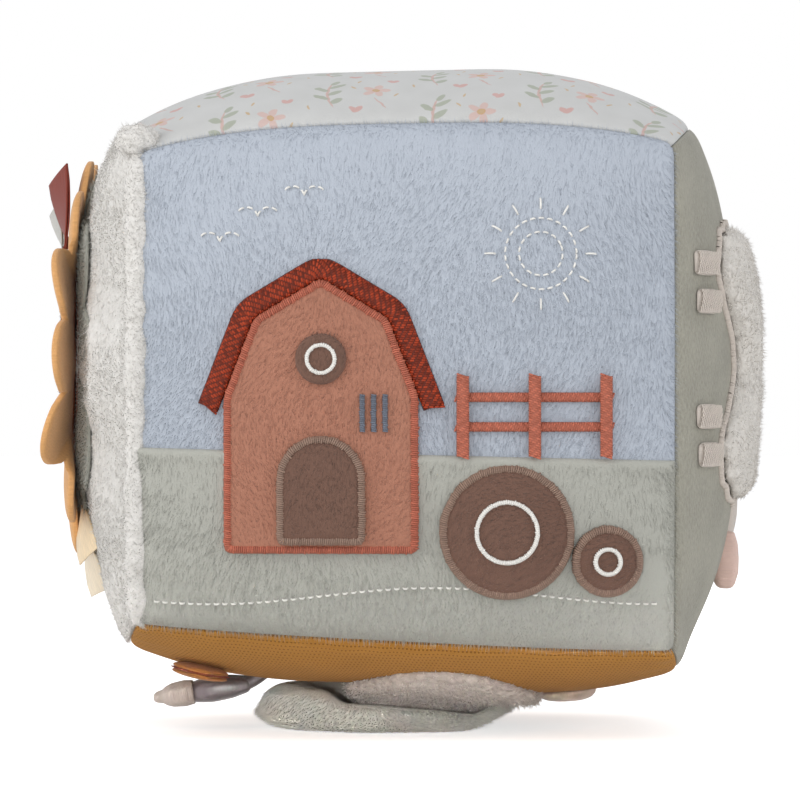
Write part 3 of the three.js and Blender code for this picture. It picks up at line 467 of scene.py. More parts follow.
# %% Shader sockets as numbers
class Number:
    """A shader socket that takes part in arithmetic."""

    def __init__(self, paint, socket):
        self.paint, self.socket = paint, socket

    def of(self, operation, *others):
        inputs = dict(enumerate((self, *others)))
        return self.paint.node("ShaderNodeMath", {"operation": operation}, inputs)

    def __add__(self, other):
        return self.of("ADD", other)

    def __sub__(self, other):
        return self.of("SUBTRACT", other)

    def __rsub__(self, other):
        return self.paint.number(other) - self

    def __mul__(self, other):
        return self.of("MULTIPLY", other)

    def __truediv__(self, other):
        return self.of("DIVIDE", other)

    __radd__, __rmul__ = __add__, __mul__

    def high(self, other):
        return self.of("MAXIMUM", other)

    def step(self, start, end):
        """0 before start, 1 past end, smooth between."""
        settings = {"interpolation_type": "SMOOTHSTEP"}
        inputs = {0: self, 1: start, 2: end, 3: 0.0, 4: 1.0}
        return self.paint.node("ShaderNodeMapRange", settings, inputs)


class Paint:
    """Builds the nodes of one material, or of the world."""

    def __init__(self, name, owner=None):
        self.material = owner or bpy.data.materials.new(name)
        self.material.use_nodes = True
        self.tree = self.material.node_tree
        self.tree.nodes.clear()

    def node(self, kind, settings=None, inputs=None, output=0):
        """Adds a node, its settings first, then its sockets, and returns one output."""
        made = self.tree.nodes.new(kind)
        for key, value in (settings or {}).items():
            setattr(made, key, value)
        for key, value in (inputs or {}).items():
            if isinstance(value, Number):
                self.tree.links.new(value.socket, made.inputs[key])
            else:
                made.inputs[key].default_value = value
        return Number(self, made.outputs[output]) if len(made.outputs) else made

    def number(self, value):
        return self.node("ShaderNodeMath", {"operation": "ADD"}, {0: float(value), 1: 0.0})

    def place(self):
        """The piece's own points, in millimetres."""
        raw = self.node("ShaderNodeTexCoord", output=3)
        return self.scaled(raw, (1000.0, 1000.0, 1000.0))

    def cloth(self):
        """The place on the flat cloth, in millimetres."""
        return self.node("ShaderNodeUVMap", {"uv_map": "cloth"})

    def scaled(self, vector, by, turn=0.0):
        inputs = {"Vector": vector, "Scale": by, "Rotation": (0.0, 0.0, turn)}
        return self.node("ShaderNodeMapping", {"vector_type": "POINT"}, inputs)

    def split(self, vector, count=2):
        node = self.node("ShaderNodeSeparateXYZ", None, {0: vector}).socket.node
        return [Number(self, node.outputs[k]) for k in range(count)]

    def joined(self, x, y, z=0.0):
        return self.node("ShaderNodeCombineXYZ", None, {0: x, 1: y, 2: z})

    def noise(self, vector, scale, detail=2.0, rough=0.5):
        inputs = {"Vector": vector, "Scale": scale, "Detail": detail, "Roughness": rough}
        return self.node("ShaderNodeTexNoise", None, inputs)

    def cells(self, vector, scale):
        return self.node("ShaderNodeTexVoronoi", None, {"Vector": vector, "Scale": scale})

    def own(self, name):
        """A number that the piece carries: hill at its points, or thread_shade on each thread."""
        return self.node("ShaderNodeAttribute", {"attribute_name": name}, output=2)

    def mix(self, factor, a, b):
        return self.node("ShaderNodeMix", {"data_type": "RGBA"}, {0: factor, 6: a, 7: b}, 2)

    def finish(self, base, roughness, bump=None, height=0.0003, strength=1.0, **fixed):
        """The Principled shader and the output. fixed names the constants set on its sockets."""
        wanted = {"Base Color": base, "Roughness": roughness}
        wanted.update({key.replace("_", " "): value for key, value in fixed.items()})
        if bump is not None:
            inputs = {"Height": bump, "Distance": height, "Strength": strength}
            wanted["Normal"] = self.node("ShaderNodeBump", None, inputs)
        shader = self.node("ShaderNodeBsdfPrincipled", None, wanted)
        self.node("ShaderNodeOutputMaterial", None, {0: shader})
        return self.material


def colour(red, green, blue, factor=1.0):
    """A colour as a screen shows it, from 0 to 255, as the linear one that a shader wants."""
    shown = np.array([red, green, blue]) / 255
    linear = np.where(shown <= 0.04045, shown / 12.92, ((shown + 0.055) / 1.055) ** 2.4)
    return (*np.clip(linear * factor, 0, 1).tolist(), 1.0)


print("mid grey is", round(colour(128, 128, 128)[0], 3), "in a shader")

# %% [markdown]
# ### Plush
# Short-pile plush is thousands of fibres lying over each other. Seen from a metre away it is a field of
# fine streaks, each under half a millimetre wide and a few long, and patches of them lie in different
# directions, which under light makes the cloth look lighter here and darker there. Two layers of stretched
# noise, turned against each other, are mixed patch by patch; the same streaks drive the bump. A slow noise
# over them is painted light: the lighter and darker patches of the nap and its soft folds.

# %% Plush
def plush(name, shown, turn=0.3, contrast=0.09, streak=(2.6, 0.5), patches=0.05, sheen=0.12):
    """A napped cloth of the colour shown; streak is how often streaks repeat to the millimetre."""
    paint = Paint(name)
    place = paint.cloth()
    drift = paint.noise(place, patches * 0.7, 1.0)
    x, y = paint.split(place)
    bent = paint.joined(x + drift * 14.0, y + paint.noise(place, patches * 0.6, 0.0) * 10.0)
    one, two = (paint.noise(paint.scaled(bent, (*streak, 1.0), way), 1.0, 2.0, 0.6)
                for way in (turn, turn - 0.75))
    which = paint.noise(place, patches * 2.2, 1.0).step(0.42, 0.58)
    streaks = one + (two - one) * which
    fine = paint.noise(paint.scaled(bent, (streak[0] * 2.6, streak[1] * 2.4, 1.0), turn), 1.0, 1.0, 0.5)
    nap = streaks * 0.7 + fine * 0.3
    # Painted light: slow patches of lighter and darker nap, the shade of its lie and of soft folds; they lift
    # the bump too.
    brushed = paint.noise(place, patches, 2.0)
    tone = (nap - 0.5) * (2.2 * contrast) + (brushed - 0.5) * 0.34 * contrast * 2
    tone = (tone + 0.5).step(0.1, 0.9)
    base = paint.mix(tone, colour(*shown, 1 - 1.25 * contrast), colour(*shown, 1 + 1.15 * contrast))
    height = nap + brushed * 0.4
    return paint.finish(base, 0.92, height, 0.0006, 0.45, Sheen_Weight=sheen, Sheen_Roughness=0.5,
                        Specular_IOR_Level=0.2)


sky_plush = plush("sky_plush", (183, 190, 200), turn=0.1)
ground_plush = plush("ground_plush", (177, 177, 168), turn=0.05, streak=(2.4, 0.45))
blush_plush = plush("blush_plush", (200, 178, 166), turn=-0.2)
barn_plush = plush("terracotta_plush", (178, 124, 102), turn=0.1, streak=(2.8, 0.5), contrast=0.12)
brown_plush = plush("brown_plush", (119, 90, 77), turn=0.4, streak=(2.8, 0.5), contrast=0.16)
# The flap's plush is painted lighter than the ground's: painted light that stands in for the light thrown up
# from the floor under the block.
flap_plush = plush("flap_plush", (224, 222, 210), turn=0.0, streak=(1.4, 0.22), contrast=0.14)
print("plush:", sky_plush.name, ground_plush.name)

# %% [markdown]
# ### Sherpa, threads and velour
# Sherpa is a pile curled into small clumps, so its bump is a field of cells broken up by fine noise, and
# its colour is painted light: painted shade in the hollows, lighter tops on the clumps and tufts.
# Embroidery thread is smooth and shines a little; every thread carries its own number, which shifts its
# shade. Velour and satin ribbon are smooth cloths with a faint grain.

# %% Sherpa, threads, velour, satin
def sherpa(name, shown, hollow_shade, size=1.0):
    """Woolly cloth: shown on the clumps, with painted shade in the hollows; size stretches the clumps."""
    paint = Paint(name)
    place = paint.place()
    push = paint.noise(place, 0.5 / size, 2.0)
    moved = paint.joined(*(way + push * 2.0 for way in paint.split(place, 3)))
    clump = paint.cells(moved, 0.62 / size)
    curl = paint.noise(moved, 2.4 / size, 3.0, 0.65)
    rise = 1.0 - clump * 0.9 + (curl - 0.5) * 0.9
    # Painted light: the hollows between clumps and the low parts of a panel's hill take the darker colour as
    # shade, the tops the lighter one.
    tone = (rise * 0.75 + paint.own("hill") * 0.35).step(0.1, 0.95)
    base = paint.mix(tone, colour(*hollow_shade), colour(*shown))
    return paint.finish(base, 0.95, rise, 0.0008, 0.3, Sheen_Weight=0.12, Sheen_Roughness=0.6,
                        Specular_IOR_Level=0.15)


def thread(name, shown, roughness=0.5, spread=0.24):
    """Embroidery thread: spread is how far its shade goes up and down from thread to thread."""
    paint = Paint(name)
    tone = paint.own("thread_shade") * 0.8 + paint.noise(paint.place(), 2.0, 1.0) * 0.2
    base = paint.mix(tone, colour(*shown, 1 - spread), colour(*shown, 1 + spread))
    return paint.finish(base, roughness, Sheen_Weight=0.0, Specular_IOR_Level=0.25)


def velour(name, shown, grain=(1.9, 1.9), contrast=0.07, height=0.0003, sheen=0.3):
    """A short, dense cloth with a faint grain."""
    paint = Paint(name)
    place = paint.cloth()
    nap = paint.noise(paint.scaled(place, (*grain, 1.0)), 1.0, 2.0, 0.6)
    cloud = paint.noise(place, 0.07, 2.0)
    tone = ((nap - 0.5) * 1.1 + (cloud - 0.5) * 0.9 + 0.5).step(0.0, 1.0)
    base = paint.mix(tone, colour(*shown, 1 - contrast), colour(*shown, 1 + contrast))
    return paint.finish(base, 0.88, nap, height, 0.8, Sheen_Weight=sheen, Sheen_Roughness=0.5,
                        Specular_IOR_Level=0.25)


def satin(name, shown, threads=(3.2, 0.3), roughness=0.38):
    """Woven satin ribbon: long fine threads with a soft shine."""
    paint = Paint(name)
    place = paint.cloth()
    run = paint.noise(paint.scaled(place, (*threads, 1.0)), 1.0, 2.0, 0.6)
    rough = run * 0.2 + (roughness - 0.1)
    base = paint.mix(run.step(0.25, 0.75), colour(*shown, 0.86), colour(*shown, 1.12))
    return paint.finish(base, rough, run, 0.0002, 0.6, Sheen_Weight=0.1, Specular_IOR_Level=0.5)


wool = sherpa("sherpa", (230, 227, 222), (212, 209, 203))
patch_wool = sherpa("patch_sherpa", (216, 207, 198), (176, 165, 155))
body_wool = sherpa("sheep_sherpa", (234, 229, 222), (214, 209, 201), 0.8)
sage_velour = velour("sage_velour", (160, 157, 144), grain=(2.0, 0.8), contrast=0.2, height=0.0008,
                     sheen=0.15)
petal_velour = velour("mustard_velour", (222, 168, 110), grain=(1.6, 1.6), contrast=0.12, sheen=0.2)
leaf_cloth = velour("leaf_cloth", (158, 158, 148), grain=(3.0, 3.0))
rust_cloth = velour("rust_cloth", (142, 64, 36), grain=(3.0, 3.0), sheen=0.1)
mustard_cloth = velour("mustard_cloth", (170, 112, 56), grain=(3.0, 3.0), sheen=0.1)
blush_cloth = velour("blush_cloth", (198, 176, 160), grain=(3.0, 3.0))
ear_cloth = velour("ear_cloth", (226, 196, 184), grain=(2.4, 2.4), sheen=0.15)
face_cloth = velour("face_cloth", (210, 200, 190), grain=(2.4, 2.4), sheen=0.15)
tip_cloth = velour("cream_velour", (192, 180, 170), grain=(2.6, 2.6), sheen=0.15)
rust_ribbon = satin("rust_satin_ribbon", (122, 38, 16), roughness=0.65)
grey_ribbon = satin("grey_green_ribbon", (186, 184, 176))
peach_ribbon = satin("peach_ribbon", (236, 212, 174))
beige_ribbon = satin("beige_ribbon", (232, 216, 188))
limb_satin = satin("grey_satin", (112, 103, 104), (2.6, 0.3), 0.34)
# The rust thread's wide spread is partly its own uneven tone and partly painted shade and highlight: dark
# gaps and glints between threads.
rust_thread = thread("rust_thread", (146, 52, 24), spread=0.75)
salmon_thread = thread("salmon_thread", (184, 106, 84), spread=0.24)
taupe_thread = thread("taupe_thread", (150, 124, 109), spread=0.16)
white_thread = thread("white_thread", (238, 236, 230), spread=0.06)
slate_thread = thread("slate_thread", (112, 117, 128))
orange_thread = thread("orange_thread", (196, 138, 82), spread=0.1)
cream_thread = thread("cream_thread", (214, 204, 194), roughness=0.6, spread=0.06)
grey_thread = thread("grey_thread", (168, 165, 155), spread=0.08)
print("materials so far:", len(bpy.data.materials))

# %% [markdown]
# Loose fibres stand on the plush and the wool. They wear the colour of the cloth below them, one shade
# lighter or darker from fibre to fibre.

# %% Fibres
def fibre(name, shown, spread):
    paint = Paint(name)
    shade = paint.own("thread_shade")
    base = paint.mix(shade, colour(*shown, 1 - spread), colour(*shown, 1 + spread))
    return paint.finish(base, 0.85, Sheen_Weight=0.2, Sheen_Roughness=0.5, Specular_IOR_Level=0.2)


sky_fibre = fibre("sky_fibre", (185, 192, 202), 0.06)
ground_fibre = fibre("ground_fibre", (180, 180, 171), 0.07)
blush_fibre = fibre("blush_fibre", (203, 181, 169), 0.07)
# Painted light: the flap's fibres are lighter, like its plush, for the light thrown up from the floor.
flap_fibre = fibre("flap_fibre", (230, 228, 216), 0.12)
wool_fibre = fibre("wool_fibre", (230, 227, 222), 0.05)
body_fibre = fibre("body_fibre", (236, 231, 224), 0.05)
leaf_fibre = fibre("leaf_fibre", (164, 164, 154), 0.08)
patch_fibre = fibre("patch_fibre", (218, 209, 200), 0.07)
barn_fibre = fibre("barn_fibre", (182, 128, 106), 0.1)
brown_fibre = fibre("brown_fibre", (124, 95, 81), 0.14)
print("fibres:", sky_fibre.name, wool_fibre.name)

# %% [markdown]
# ### Printed cotton and waffle knit
# The top wears a small all-over print. A print is a repeat: the cloth's own millimetres are folded into
# one cell, every other column dropped by half, and a few ellipses in that cell are the leaves, petals
# and hearts. The bottom is a waffle knit: rows of small holes, each row shifted against the last. The
# holes are painted darker, as the shade inside them, and the knit is darker along the lines between rows.

# %% Printed cotton
def ellipse_mask(x, y, middle, radii, turn=0.0, edge=0.3):
    """1 inside an ellipse of the print and 0 outside it."""
    cos, sin = math.cos(turn), math.sin(turn)
    dx, dy = x - middle[0], y - middle[1]
    a = (dx * cos + dy * sin) / radii[0]
    b = (dy * cos - dx * sin) / radii[1]
    return 1.0 - (a * a + b * b).step(1 - edge, 1 + edge)


def either(masks):
    found = masks[0]
    for mask in masks[1:]:
        found = found.high(mask)
    return found


PRINT_REPEAT = 25.0, 21.0


def printed_cotton():
    paint = Paint("printed_cotton")
    place = paint.cloth()
    x, y = paint.split(place)
    wobble = paint.noise(place, 0.5, 1.0) - 0.5
    wide, tall = PRINT_REPEAT
    column = (x + 200.0) / wide
    drop = (column.of("FLOOR") * 0.5).of("FRACT")
    lx = (column.of("FRACT") - 0.5) * wide + wobble * 0.8
    ly = (((y + 200.0) / tall + drop).of("FRACT") - 0.5) * tall + wobble * 0.8
    bow = lx - 0.03 * ly * ly
    stem = either([ellipse_mask(bow, ly, (-6, 0), (0.35, 6.5)),
                   ellipse_mask(bow, ly, (5.5, -5.2), (0.3, 2.6), 0.25)])
    leaves = either([ellipse_mask(bow, ly, (-6 + s * 1.7, k), (2.0, 0.85), s * 0.7)
                     for k, s in ((-3.6, 1), (-1.6, -1), (0.6, 1), (2.8, -1), (4.6, 1))]
                    + [ellipse_mask(bow, ly, (-5.6, 7.2), (0.8, 1.5))])
    petals = either([ellipse_mask(lx, ly, (5.5 + 2.0 * math.cos(a), 1.2 + 2.0 * math.sin(a)), (1.5, 0.95), a)
                     for a in (k * 1.2566 for k in range(5))])
    heart = either([ellipse_mask(lx, ly, (0.6 - s * 0.6, -7.6), (0.8, 1.45), s * 0.65) for s in (-1, 1)]
                   + [ellipse_mask(lx, ly, (9.6 - s * 0.5, 7.6), (0.7, 1.2), s * 0.65) for s in (-1, 1)])
    eye = ellipse_mask(lx, ly, (5.5, 1.2), (0.95, 0.95))
    ticks = either([ellipse_mask(lx, ly, spot, (0.28, 1.0), turn) for spot, turn in
                    (((0.2, 3.6), 0.5), ((1.6, 7.8), -0.4), ((-10.5, -6.5), 0.2), ((10.2, -1.4), -0.6))])
    weave = (x * 9.0).of("SINE") * (y * 9.0).of("SINE")
    cloud = paint.noise(place, 0.12, 2.0)
    base = paint.mix(cloud, colour(200, 200, 197), colour(211, 211, 209))
    for mask, ink in ((stem, (206, 168, 158)), (leaves, (164, 170, 150)), (petals, (214, 180, 170)),
                      (heart, (208, 158, 150)), (eye, (198, 160, 104)), (ticks, (202, 170, 122))):
        base = paint.mix(mask * 0.75, base, colour(*ink))
    slub = paint.noise(paint.scaled(place, (0.5, 6.0, 1.0)), 1.0, 2.0)
    return paint.finish(base, 0.85, weave * 0.3 + slub, 0.00015, 0.6, Sheen_Weight=0.05,
                        Specular_IOR_Level=0.25)


cotton = printed_cotton()
print("print repeats every 25 by 21 mm")

# %% Waffle knit
KNIT_ROW, KNIT_STITCH = 1.6, 0.95


def waffle_knit():
    paint = Paint("waffle_knit")
    place = paint.cloth()
    x, y = paint.split(place)
    wobble = paint.noise(place, 0.35, 1.0) - 0.5
    row = (y + wobble * 0.4) / KNIT_ROW
    shift = (row.of("FLOOR") * 0.618).of("FRACT")
    lx = ((x + wobble * 0.4) / KNIT_STITCH + shift).of("FRACT") - 0.5
    ly = row.of("FRACT") - 0.5
    hole = 1.0 - (lx * lx * 10.0 + ly * ly * 18.0).step(0.1, 1.0)
    course = (row * (2 * math.pi)).of("COSINE") * 0.5 + 0.5
    yarn = paint.noise(paint.scaled(place, (4.0, 4.0, 1.0)), 1.0, 2.0, 0.6)
    cloud = paint.noise(place, 0.08, 1.0)
    # Painted shade: the holes take the dark end of the colours, as the shade inside them; the same marks
    # shape the bump.
    tone = 1.0 - hole * 0.75 - course * 0.15
    base = paint.mix(tone * (yarn * 0.3 + cloud * 0.3 + 0.7), colour(116, 74, 24), colour(184, 130, 58))
    return paint.finish(base, 0.9, tone + yarn * 0.2, 0.0005, 0.8, Sheen_Weight=0.03,
                        Specular_IOR_Level=0.2)


knit = waffle_knit()
print("knit rows are 1.6 mm apart")

# %% [markdown]
# ## The cover
# Seven cloths: two of plush in front, and one for each other side. On the real block each is cut flat,
# sewn to its neighbours inside out, turned and stuffed. A panel here is a fine grid of the stuffed
# shape with a cloth's thickness, and beside each seam it rolls over and dives in, as stuffed cloth
# does. Cloth simulation would work too, but six panels that must meet exactly are safer by rule.

# %% A panel of the cover
TUCK, TUCK_REACH = 1.5, 4.5


def tuck(q, points):
    """Draws the cloth in beside its seams, so that it rolls over into them. A point feels all three
    pairs of faces, so that neighbours still meet where three cloths come together."""
    near = np.clip(HALF * (1 - np.abs(q)) / TUCK_REACH, 0, 1)
    for a, b in ((0, 1), (0, 2), (1, 2)):
        fall = TUCK * (1 - np.sqrt(1 - (1 - np.maximum(near[..., a], near[..., b])) ** 2)) / math.sqrt(2)
        for k in (a, b):
            points[..., k] -= np.sign(q[..., k]) * fall
    return points


def seam_line(along, side, depth, count=120):
    """The unit cube's edge that runs along an axis between two faces, and its line in the block."""
    q = np.empty((count, 3))
    q[:, along] = np.linspace(-1, 1, count)
    q[:, [k for k in range(3) if k != along]] = side
    out = np.array([0.0 if k == along else q[0, k] for k in range(3)]) / math.sqrt(2)
    return q, tuck(q, block_points(q, depth)), out


def lengths_along(line):
    """How far each point of a line lies from its start."""
    return np.concatenate([[0], np.cumsum(np.linalg.norm(np.diff(line, axis=0), axis=1))])


def end_faces(count, around):
    """The two faces that close a run of rings."""
    return [list(range(around))[::-1], [(count - 1) * around + j for j in range(around)]]


def tube(line, out, radii, around):
    """A closed tube round a line; radii gives its size outwards and sideways at each of its points."""
    run = np.gradient(line, axis=0)
    run /= np.linalg.norm(run, axis=1, keepdims=True)
    side = np.cross(run, out)
    side /= np.linalg.norm(side, axis=1, keepdims=True)
    a = np.linspace(0, 2 * np.pi, around, endpoint=False)
    rings = (line[:, None] + (radii[:, :1] * np.cos(a))[..., None] * out
             + (radii[:, 1:] * np.sin(a))[..., None] * side[:, None])
    count = len(line)
    points = rings.reshape(-1, 3)
    faces = grid_faces(count, around, True) + end_faces(count, around)
    spots = np.stack(np.broadcast_arrays(radii[:, :1] * a, lengths_along(line)[:, None]), -1)
    return points, outwards(points, faces), spots.reshape(-1, 2)


def seam_shares(cells, half):
    """Shares from seam to seam, closer together near the seams, a hair short of them."""
    t = np.linspace(-1, 1, cells + 1)
    return t * (1.3 - 0.3 * t**2) * (1 - 0.15 / half)


def panel(name, face, cells=(118, 108), rise=None, hill=None, thickness=1.6, edge=None):
    """One cloth of the cover. hill lifts its outer side; rise gives other rows than seam to seam."""
    run = seam_shares(cells[0], face.half_across)
    rows = seam_shares(cells[1], face.half_up) if rise is None else rise
    u, v = np.meshgrid(run, rows)
    x, y = u * face.half_across, v * face.half_up
    lift = np.zeros_like(u) if hill is None else hill(x, y)
    q = face.cube(u, v)
    outer = tuck(q, face.cloth(u, v)) + lift[..., None] * face.normal
    if edge is not None:
        outer = outer + edge(u, v)[..., None] * face.normal
    inner = tuck(q, block_points(q, thickness))
    faces = grid_faces(*u.shape)
    spots = np.stack([x, y], -1).reshape(-1, 2)
    top_layer = outer.reshape(-1, 3)
    shell = closed_sheet(name, top_layer, inner.reshape(-1, 3), faces, spots,
                         {"hill": np.clip(lift / (np.abs(lift).max() + 1e-9), 0, 1).ravel()})
    return shell, (top_layer, faces, x, y)


def dress(thing, material, body="block", replaces=(), slot=None):
    """Gives a piece its material, its body and the CAD nodes that it stands for; slot is not used."""
    thing.data.materials.clear()
    thing.data.materials.append(material)
    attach(thing, body)
    if replaces:
        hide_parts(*replaces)
    return thing


def facing(face, points, faces):
    """The same faces, turned where they look into the block."""
    a, b, c = points[faces[0][:3]]
    return faces if np.cross(b - a, c - a) @ face.normal > 0 else [f[::-1] for f in faces]


def combed(face, x, y, turn, swing=0.9, seed=0.0, spill=0.0):
    """A direction in the face for each place: the way the pile was brushed there. spill turns the
    pile beside a seam outwards over it."""
    angle = turn + swing * np.sin(x / 15 + seed + 1.7 * np.sin(y / 19 + seed)) * np.sin(y / 13 + 2 * seed)
    side = spill * np.sign(x) * np.clip(1 - (face.half_across - np.abs(x)) / 4, 0, 1)
    end = spill * np.sign(y) * np.clip(1 - (face.half_up - np.abs(y)) / 4, 0, 1)
    return ((np.cos(angle) + side)[..., None] * face.across
            + (np.sin(angle) + end)[..., None] * face.up).reshape(-1, 3)


print("a panel's seams roll in over", TUCK_REACH, "mm")

# %% [markdown]
# The front's two cloths meet at the horizon. The ground's upper edge lies over the sky's lower edge, so
# it stands a little higher and shows a rounded, fuzzy rim.

# %% Front, sky and ground
HORIZON = -14.8 / 59.15
run_up = seam_shares(104, front.half_up)
above = np.concatenate([[HORIZON - 0.012, HORIZON + 0.004], run_up[run_up > HORIZON + 0.02]])
sky, sky_skin = panel("front_sky", front, (124, 0), rise=above)
dress(sky, sky_plush, replaces=["front_sky_panel"], slot="sky_plush")
below = run_up[run_up < HORIZON - 0.03]
rim = HORIZON + np.array([-0.024, -0.016, -0.009, -0.003, 0.002, 0.005, 0.006])


def ground_edge(u, v):
    """The ground stands 1.5 mm over the sky beside the horizon, with a round rim."""
    near = np.clip((HORIZON + 0.006 - v) / 0.02, 0, 1)
    return 1.5 * np.sqrt(1 - (1 - near) ** 2) * np.exp(-np.clip(HORIZON - 0.02 - v, 0, 1) / 0.12)


ground, ground_skin = panel("front_ground", front, (124, 0), rise=np.concatenate([below, rim]),
                            edge=ground_edge)
dress(ground, ground_plush, replaces=["front_ground_panel"], slot="grey_green_plush")
print("sky and ground:", len(sky.data.polygons), "and", len(ground.data.polygons), "faces")

# %% Nap on the front
def nap(name, face, skin, material, turn, sizes, seed):
    points, faces, x, y = skin
    ways = combed(face, x, y, turn, 0.5, seed, 1.6)
    return pile(name, points, facing(face, points, faces), ways, sizes, material, seed)


sky_nap = nap("front_sky_nap", front, sky_skin, sky_fibre, -1.7, (260, 1.8, 0.12, 0.2, 0.22), 1)
ground_nap = nap("front_ground_nap", front, ground_skin, ground_fibre, -1.6, (330, 1.9, 0.13, 0.24, 0.24), 2)
print("nap:", len(sky_nap.data.polygons) // 4 + len(ground_nap.data.polygons) // 4, "fibres in front")

# %% [markdown]
# Sherpa fleece on the left is thicker: its pile is curled into tufts. The tufts are rounded hills on the
# panel itself, laid out on a jittered grid, with loose curls standing on them, so that the fleece has a
# soft outline wherever it is seen against the light.

# %% Tufts
def hills(x, y, pitch, seed=0):
    """Heights from 0 in the hollows to 1 on top of rounded tufts that are about pitch apart."""
    dice = np.random.default_rng(seed)
    table = dice.uniform(0, 1, (4, 64, 64))
    i, j = np.floor(x / pitch).astype(int), np.floor(y / pitch).astype(int)
    best = np.zeros_like(x, float)
    for di in (-1, 0, 1):
        for dj in (-1, 0, 1):
            a, b = (i + di) % 64, (j + dj) % 64
            cx = (i + di + 0.15 + 0.7 * table[0, a, b]) * pitch
            cy = (j + dj + 0.15 + 0.7 * table[1, a, b]) * pitch
            reach = pitch * (0.62 + 0.35 * table[2, a, b])
            near = 1 - ((x - cx) ** 2 + (y - cy) ** 2) / reach**2
            best = np.maximum(best, np.sqrt(np.clip(near, 0, 1)) * (0.65 + 0.35 * table[3, a, b]))
    return best


# The fleece's height above the formula by height on the face, in millimetres, as the silhouette has it.
FLEECE_RISE = [[-58, 0.3], [-47, 0.3], [-42, -0.6], [-33, -1.2], [-20, -1.0], [-9, -0.6], [-3, 0.8],
               [4, 1.4], [12, 1.2], [18, 0.4], [24, -0.2], [33, -0.5], [38, -0.1], [44, 0.0], [50, 0.5]]
FLOWER_Z = 9.0


def fleece_hill(x, y):
    """Tufts, the rise of the row, and a low ridge round the flower's leaves."""
    ridge = np.exp(-((np.hypot(x, y - FLOWER_Z) - 47.5) / 2.6) ** 2)
    rise = np.interp(y, *np.transpose(FLEECE_RISE))
    return hills(x, y, 3.6, 3) + 0.35 * hills(x, y, 1.9, 4) - 0.7 + rise + ridge * np.clip(rise, 0, 1)


fleece, fleece_skin = panel("left_fleece", left, (150, 140), hill=fleece_hill, thickness=3.0)
dress(fleece, wool, replaces=["left_panel"], slot="fleece")
points, faces, x, y = fleece_skin
curls = pile("left_fleece_curls", points, facing(left, points, faces), combed(left, x, y, 0.5, 3.0, 0, 2.0),
             (270, 1.5, 0.24, 0.2, 0.8), wool_fibre, 3)
centre_x, centre_y = x.ravel(), y.ravel() - FLOWER_Z
off = np.hypot(centre_x, centre_y)
ring = [f for f in facing(left, points, faces) if 43 < off[f[0]] < 54.5]
inwards = -(centre_x / off)[:, None] * left.across - (centre_y / off)[:, None] * left.up
pile("leaf_edge_tufts", points, ring, 0.3 * inwards, (240, 2.4, 0.2, 0.7, 0.8), wool_fibre, 31)
print("fleece:", len(fleece.data.polygons), "faces,", len(curls.data.polygons) // 4, "curls")

# %% [markdown]
# The fleece is too thick to end at a seam: it rolls over the front's left edge, and a small tuft of it
# stands at the upper left corner. The roll is a tube along the seam with an uneven size and its own
# hills and curls, the tuft a lumpy ball. A thicker panel could do it too, but it would lift the seam.

# %% Fleece over the front's edge
ROLL_ROWS, ROLL_SIDES = 200, 24
_, line, _ = seam_line(2, [-1, -1], 0.0, ROLL_ROWS)
t = np.linspace(-1, 1, ROLL_ROWS)
uneven = 0.3 * np.sin(17 * t) * np.sin(7 * t + 1) + 0.2 * np.sin(41 * t)
size = 2.6 + uneven - 1.2 * np.clip(np.abs(t) - 0.9, 0, 1) / 0.1
line = line + np.array([0.2, -0.2, 0.0])
sizes = np.stack([size * 0.85, size * 1.1], -1)
points, faces, spots = tube(line, np.array([0.0, -1.0, 0.0]), sizes, ROLL_SIDES)
middle = line[np.arange(len(points)) // ROLL_SIDES]
way = points - middle
bumps = 0.3 * hills(points[:, 2], spots[:, 0] * 2, 3.0, 8)
points = points + way / (np.linalg.norm(way, axis=1, keepdims=True) + 1e-9) * bumps[:, None]
# Its hill of 0.7 gives the roll the lighter tone of a tuft's top in the wool's painted light.
edge = make_object("fleece_edge", points, faces, spots, {"hill": np.full(len(points), 0.7)})
dress(edge, wool)
spill = pile("fleece_edge_curls", points, faces, 0.3 * front.across, (330, 1.6, 0.18, 0.3, 0.8),
             wool_fibre, 32)


def tuft(name, middle, radii, material, curls, seed):
    """A small lump of fleece with its own curls."""
    work = bmesh.new()
    bmesh.ops.create_icosphere(work, subdivisions=4, radius=1.0)
    points = np.array([v.co for v in work.verts])
    faces = [[v.index for v in f.verts] for f in work.faces]
    work.free()
    wave = 1 + 0.12 * np.sin(5 * points[:, 0] + 3 * points[:, 2] + seed) * np.sin(6 * points[:, 1] + seed)
    points = np.array(middle) + points * wave[:, None] * radii
    # A hill of 0.8 gives the lump the lighter tone of a tuft's top in the wool's painted light.
    lump = make_object(name, points, faces, points[:, 1:], {"hill": np.full(len(points), 0.8)})
    dress(lump, material)
    pile(name + "_curls", points, faces, np.zeros(3), (330, 1.4, 0.18, 0.3, 0.9), curls, seed)


tuft("fleece_corner", (-64.2, -62.8, 144.2), (5.0, 3.8, 3.6), wool, wool_fibre, 33)
print("spilled curls:", len(spill.data.polygons) // 4)

# %% [markdown]
# Inside a seam both cloths turn in by a few millimetres. Those seam allowances can't be seen, so one
# thin cord of cloth under each seam stands for them.

# %% The other panels
for name, face, cloth, node, slot in (
        ("top_cotton", top, cotton, "top_panel", "printed_cotton"),
        ("right_velour", right, sage_velour, "right_panel", "sage_velour"),
        ("bottom_knit", bottom, knit, "bottom_panel", "waffle_knit"),
        ("back_blush", back, blush_plush, "back_panel", "blush_plush")):
    made, skin = panel(name, face)
    dress(made, cloth, replaces=[node], slot=slot)
nap("back_blush_nap", back, skin, blush_fibre, -1.7, (180, 1.8, 0.13, 0.2, 0.22), 4)


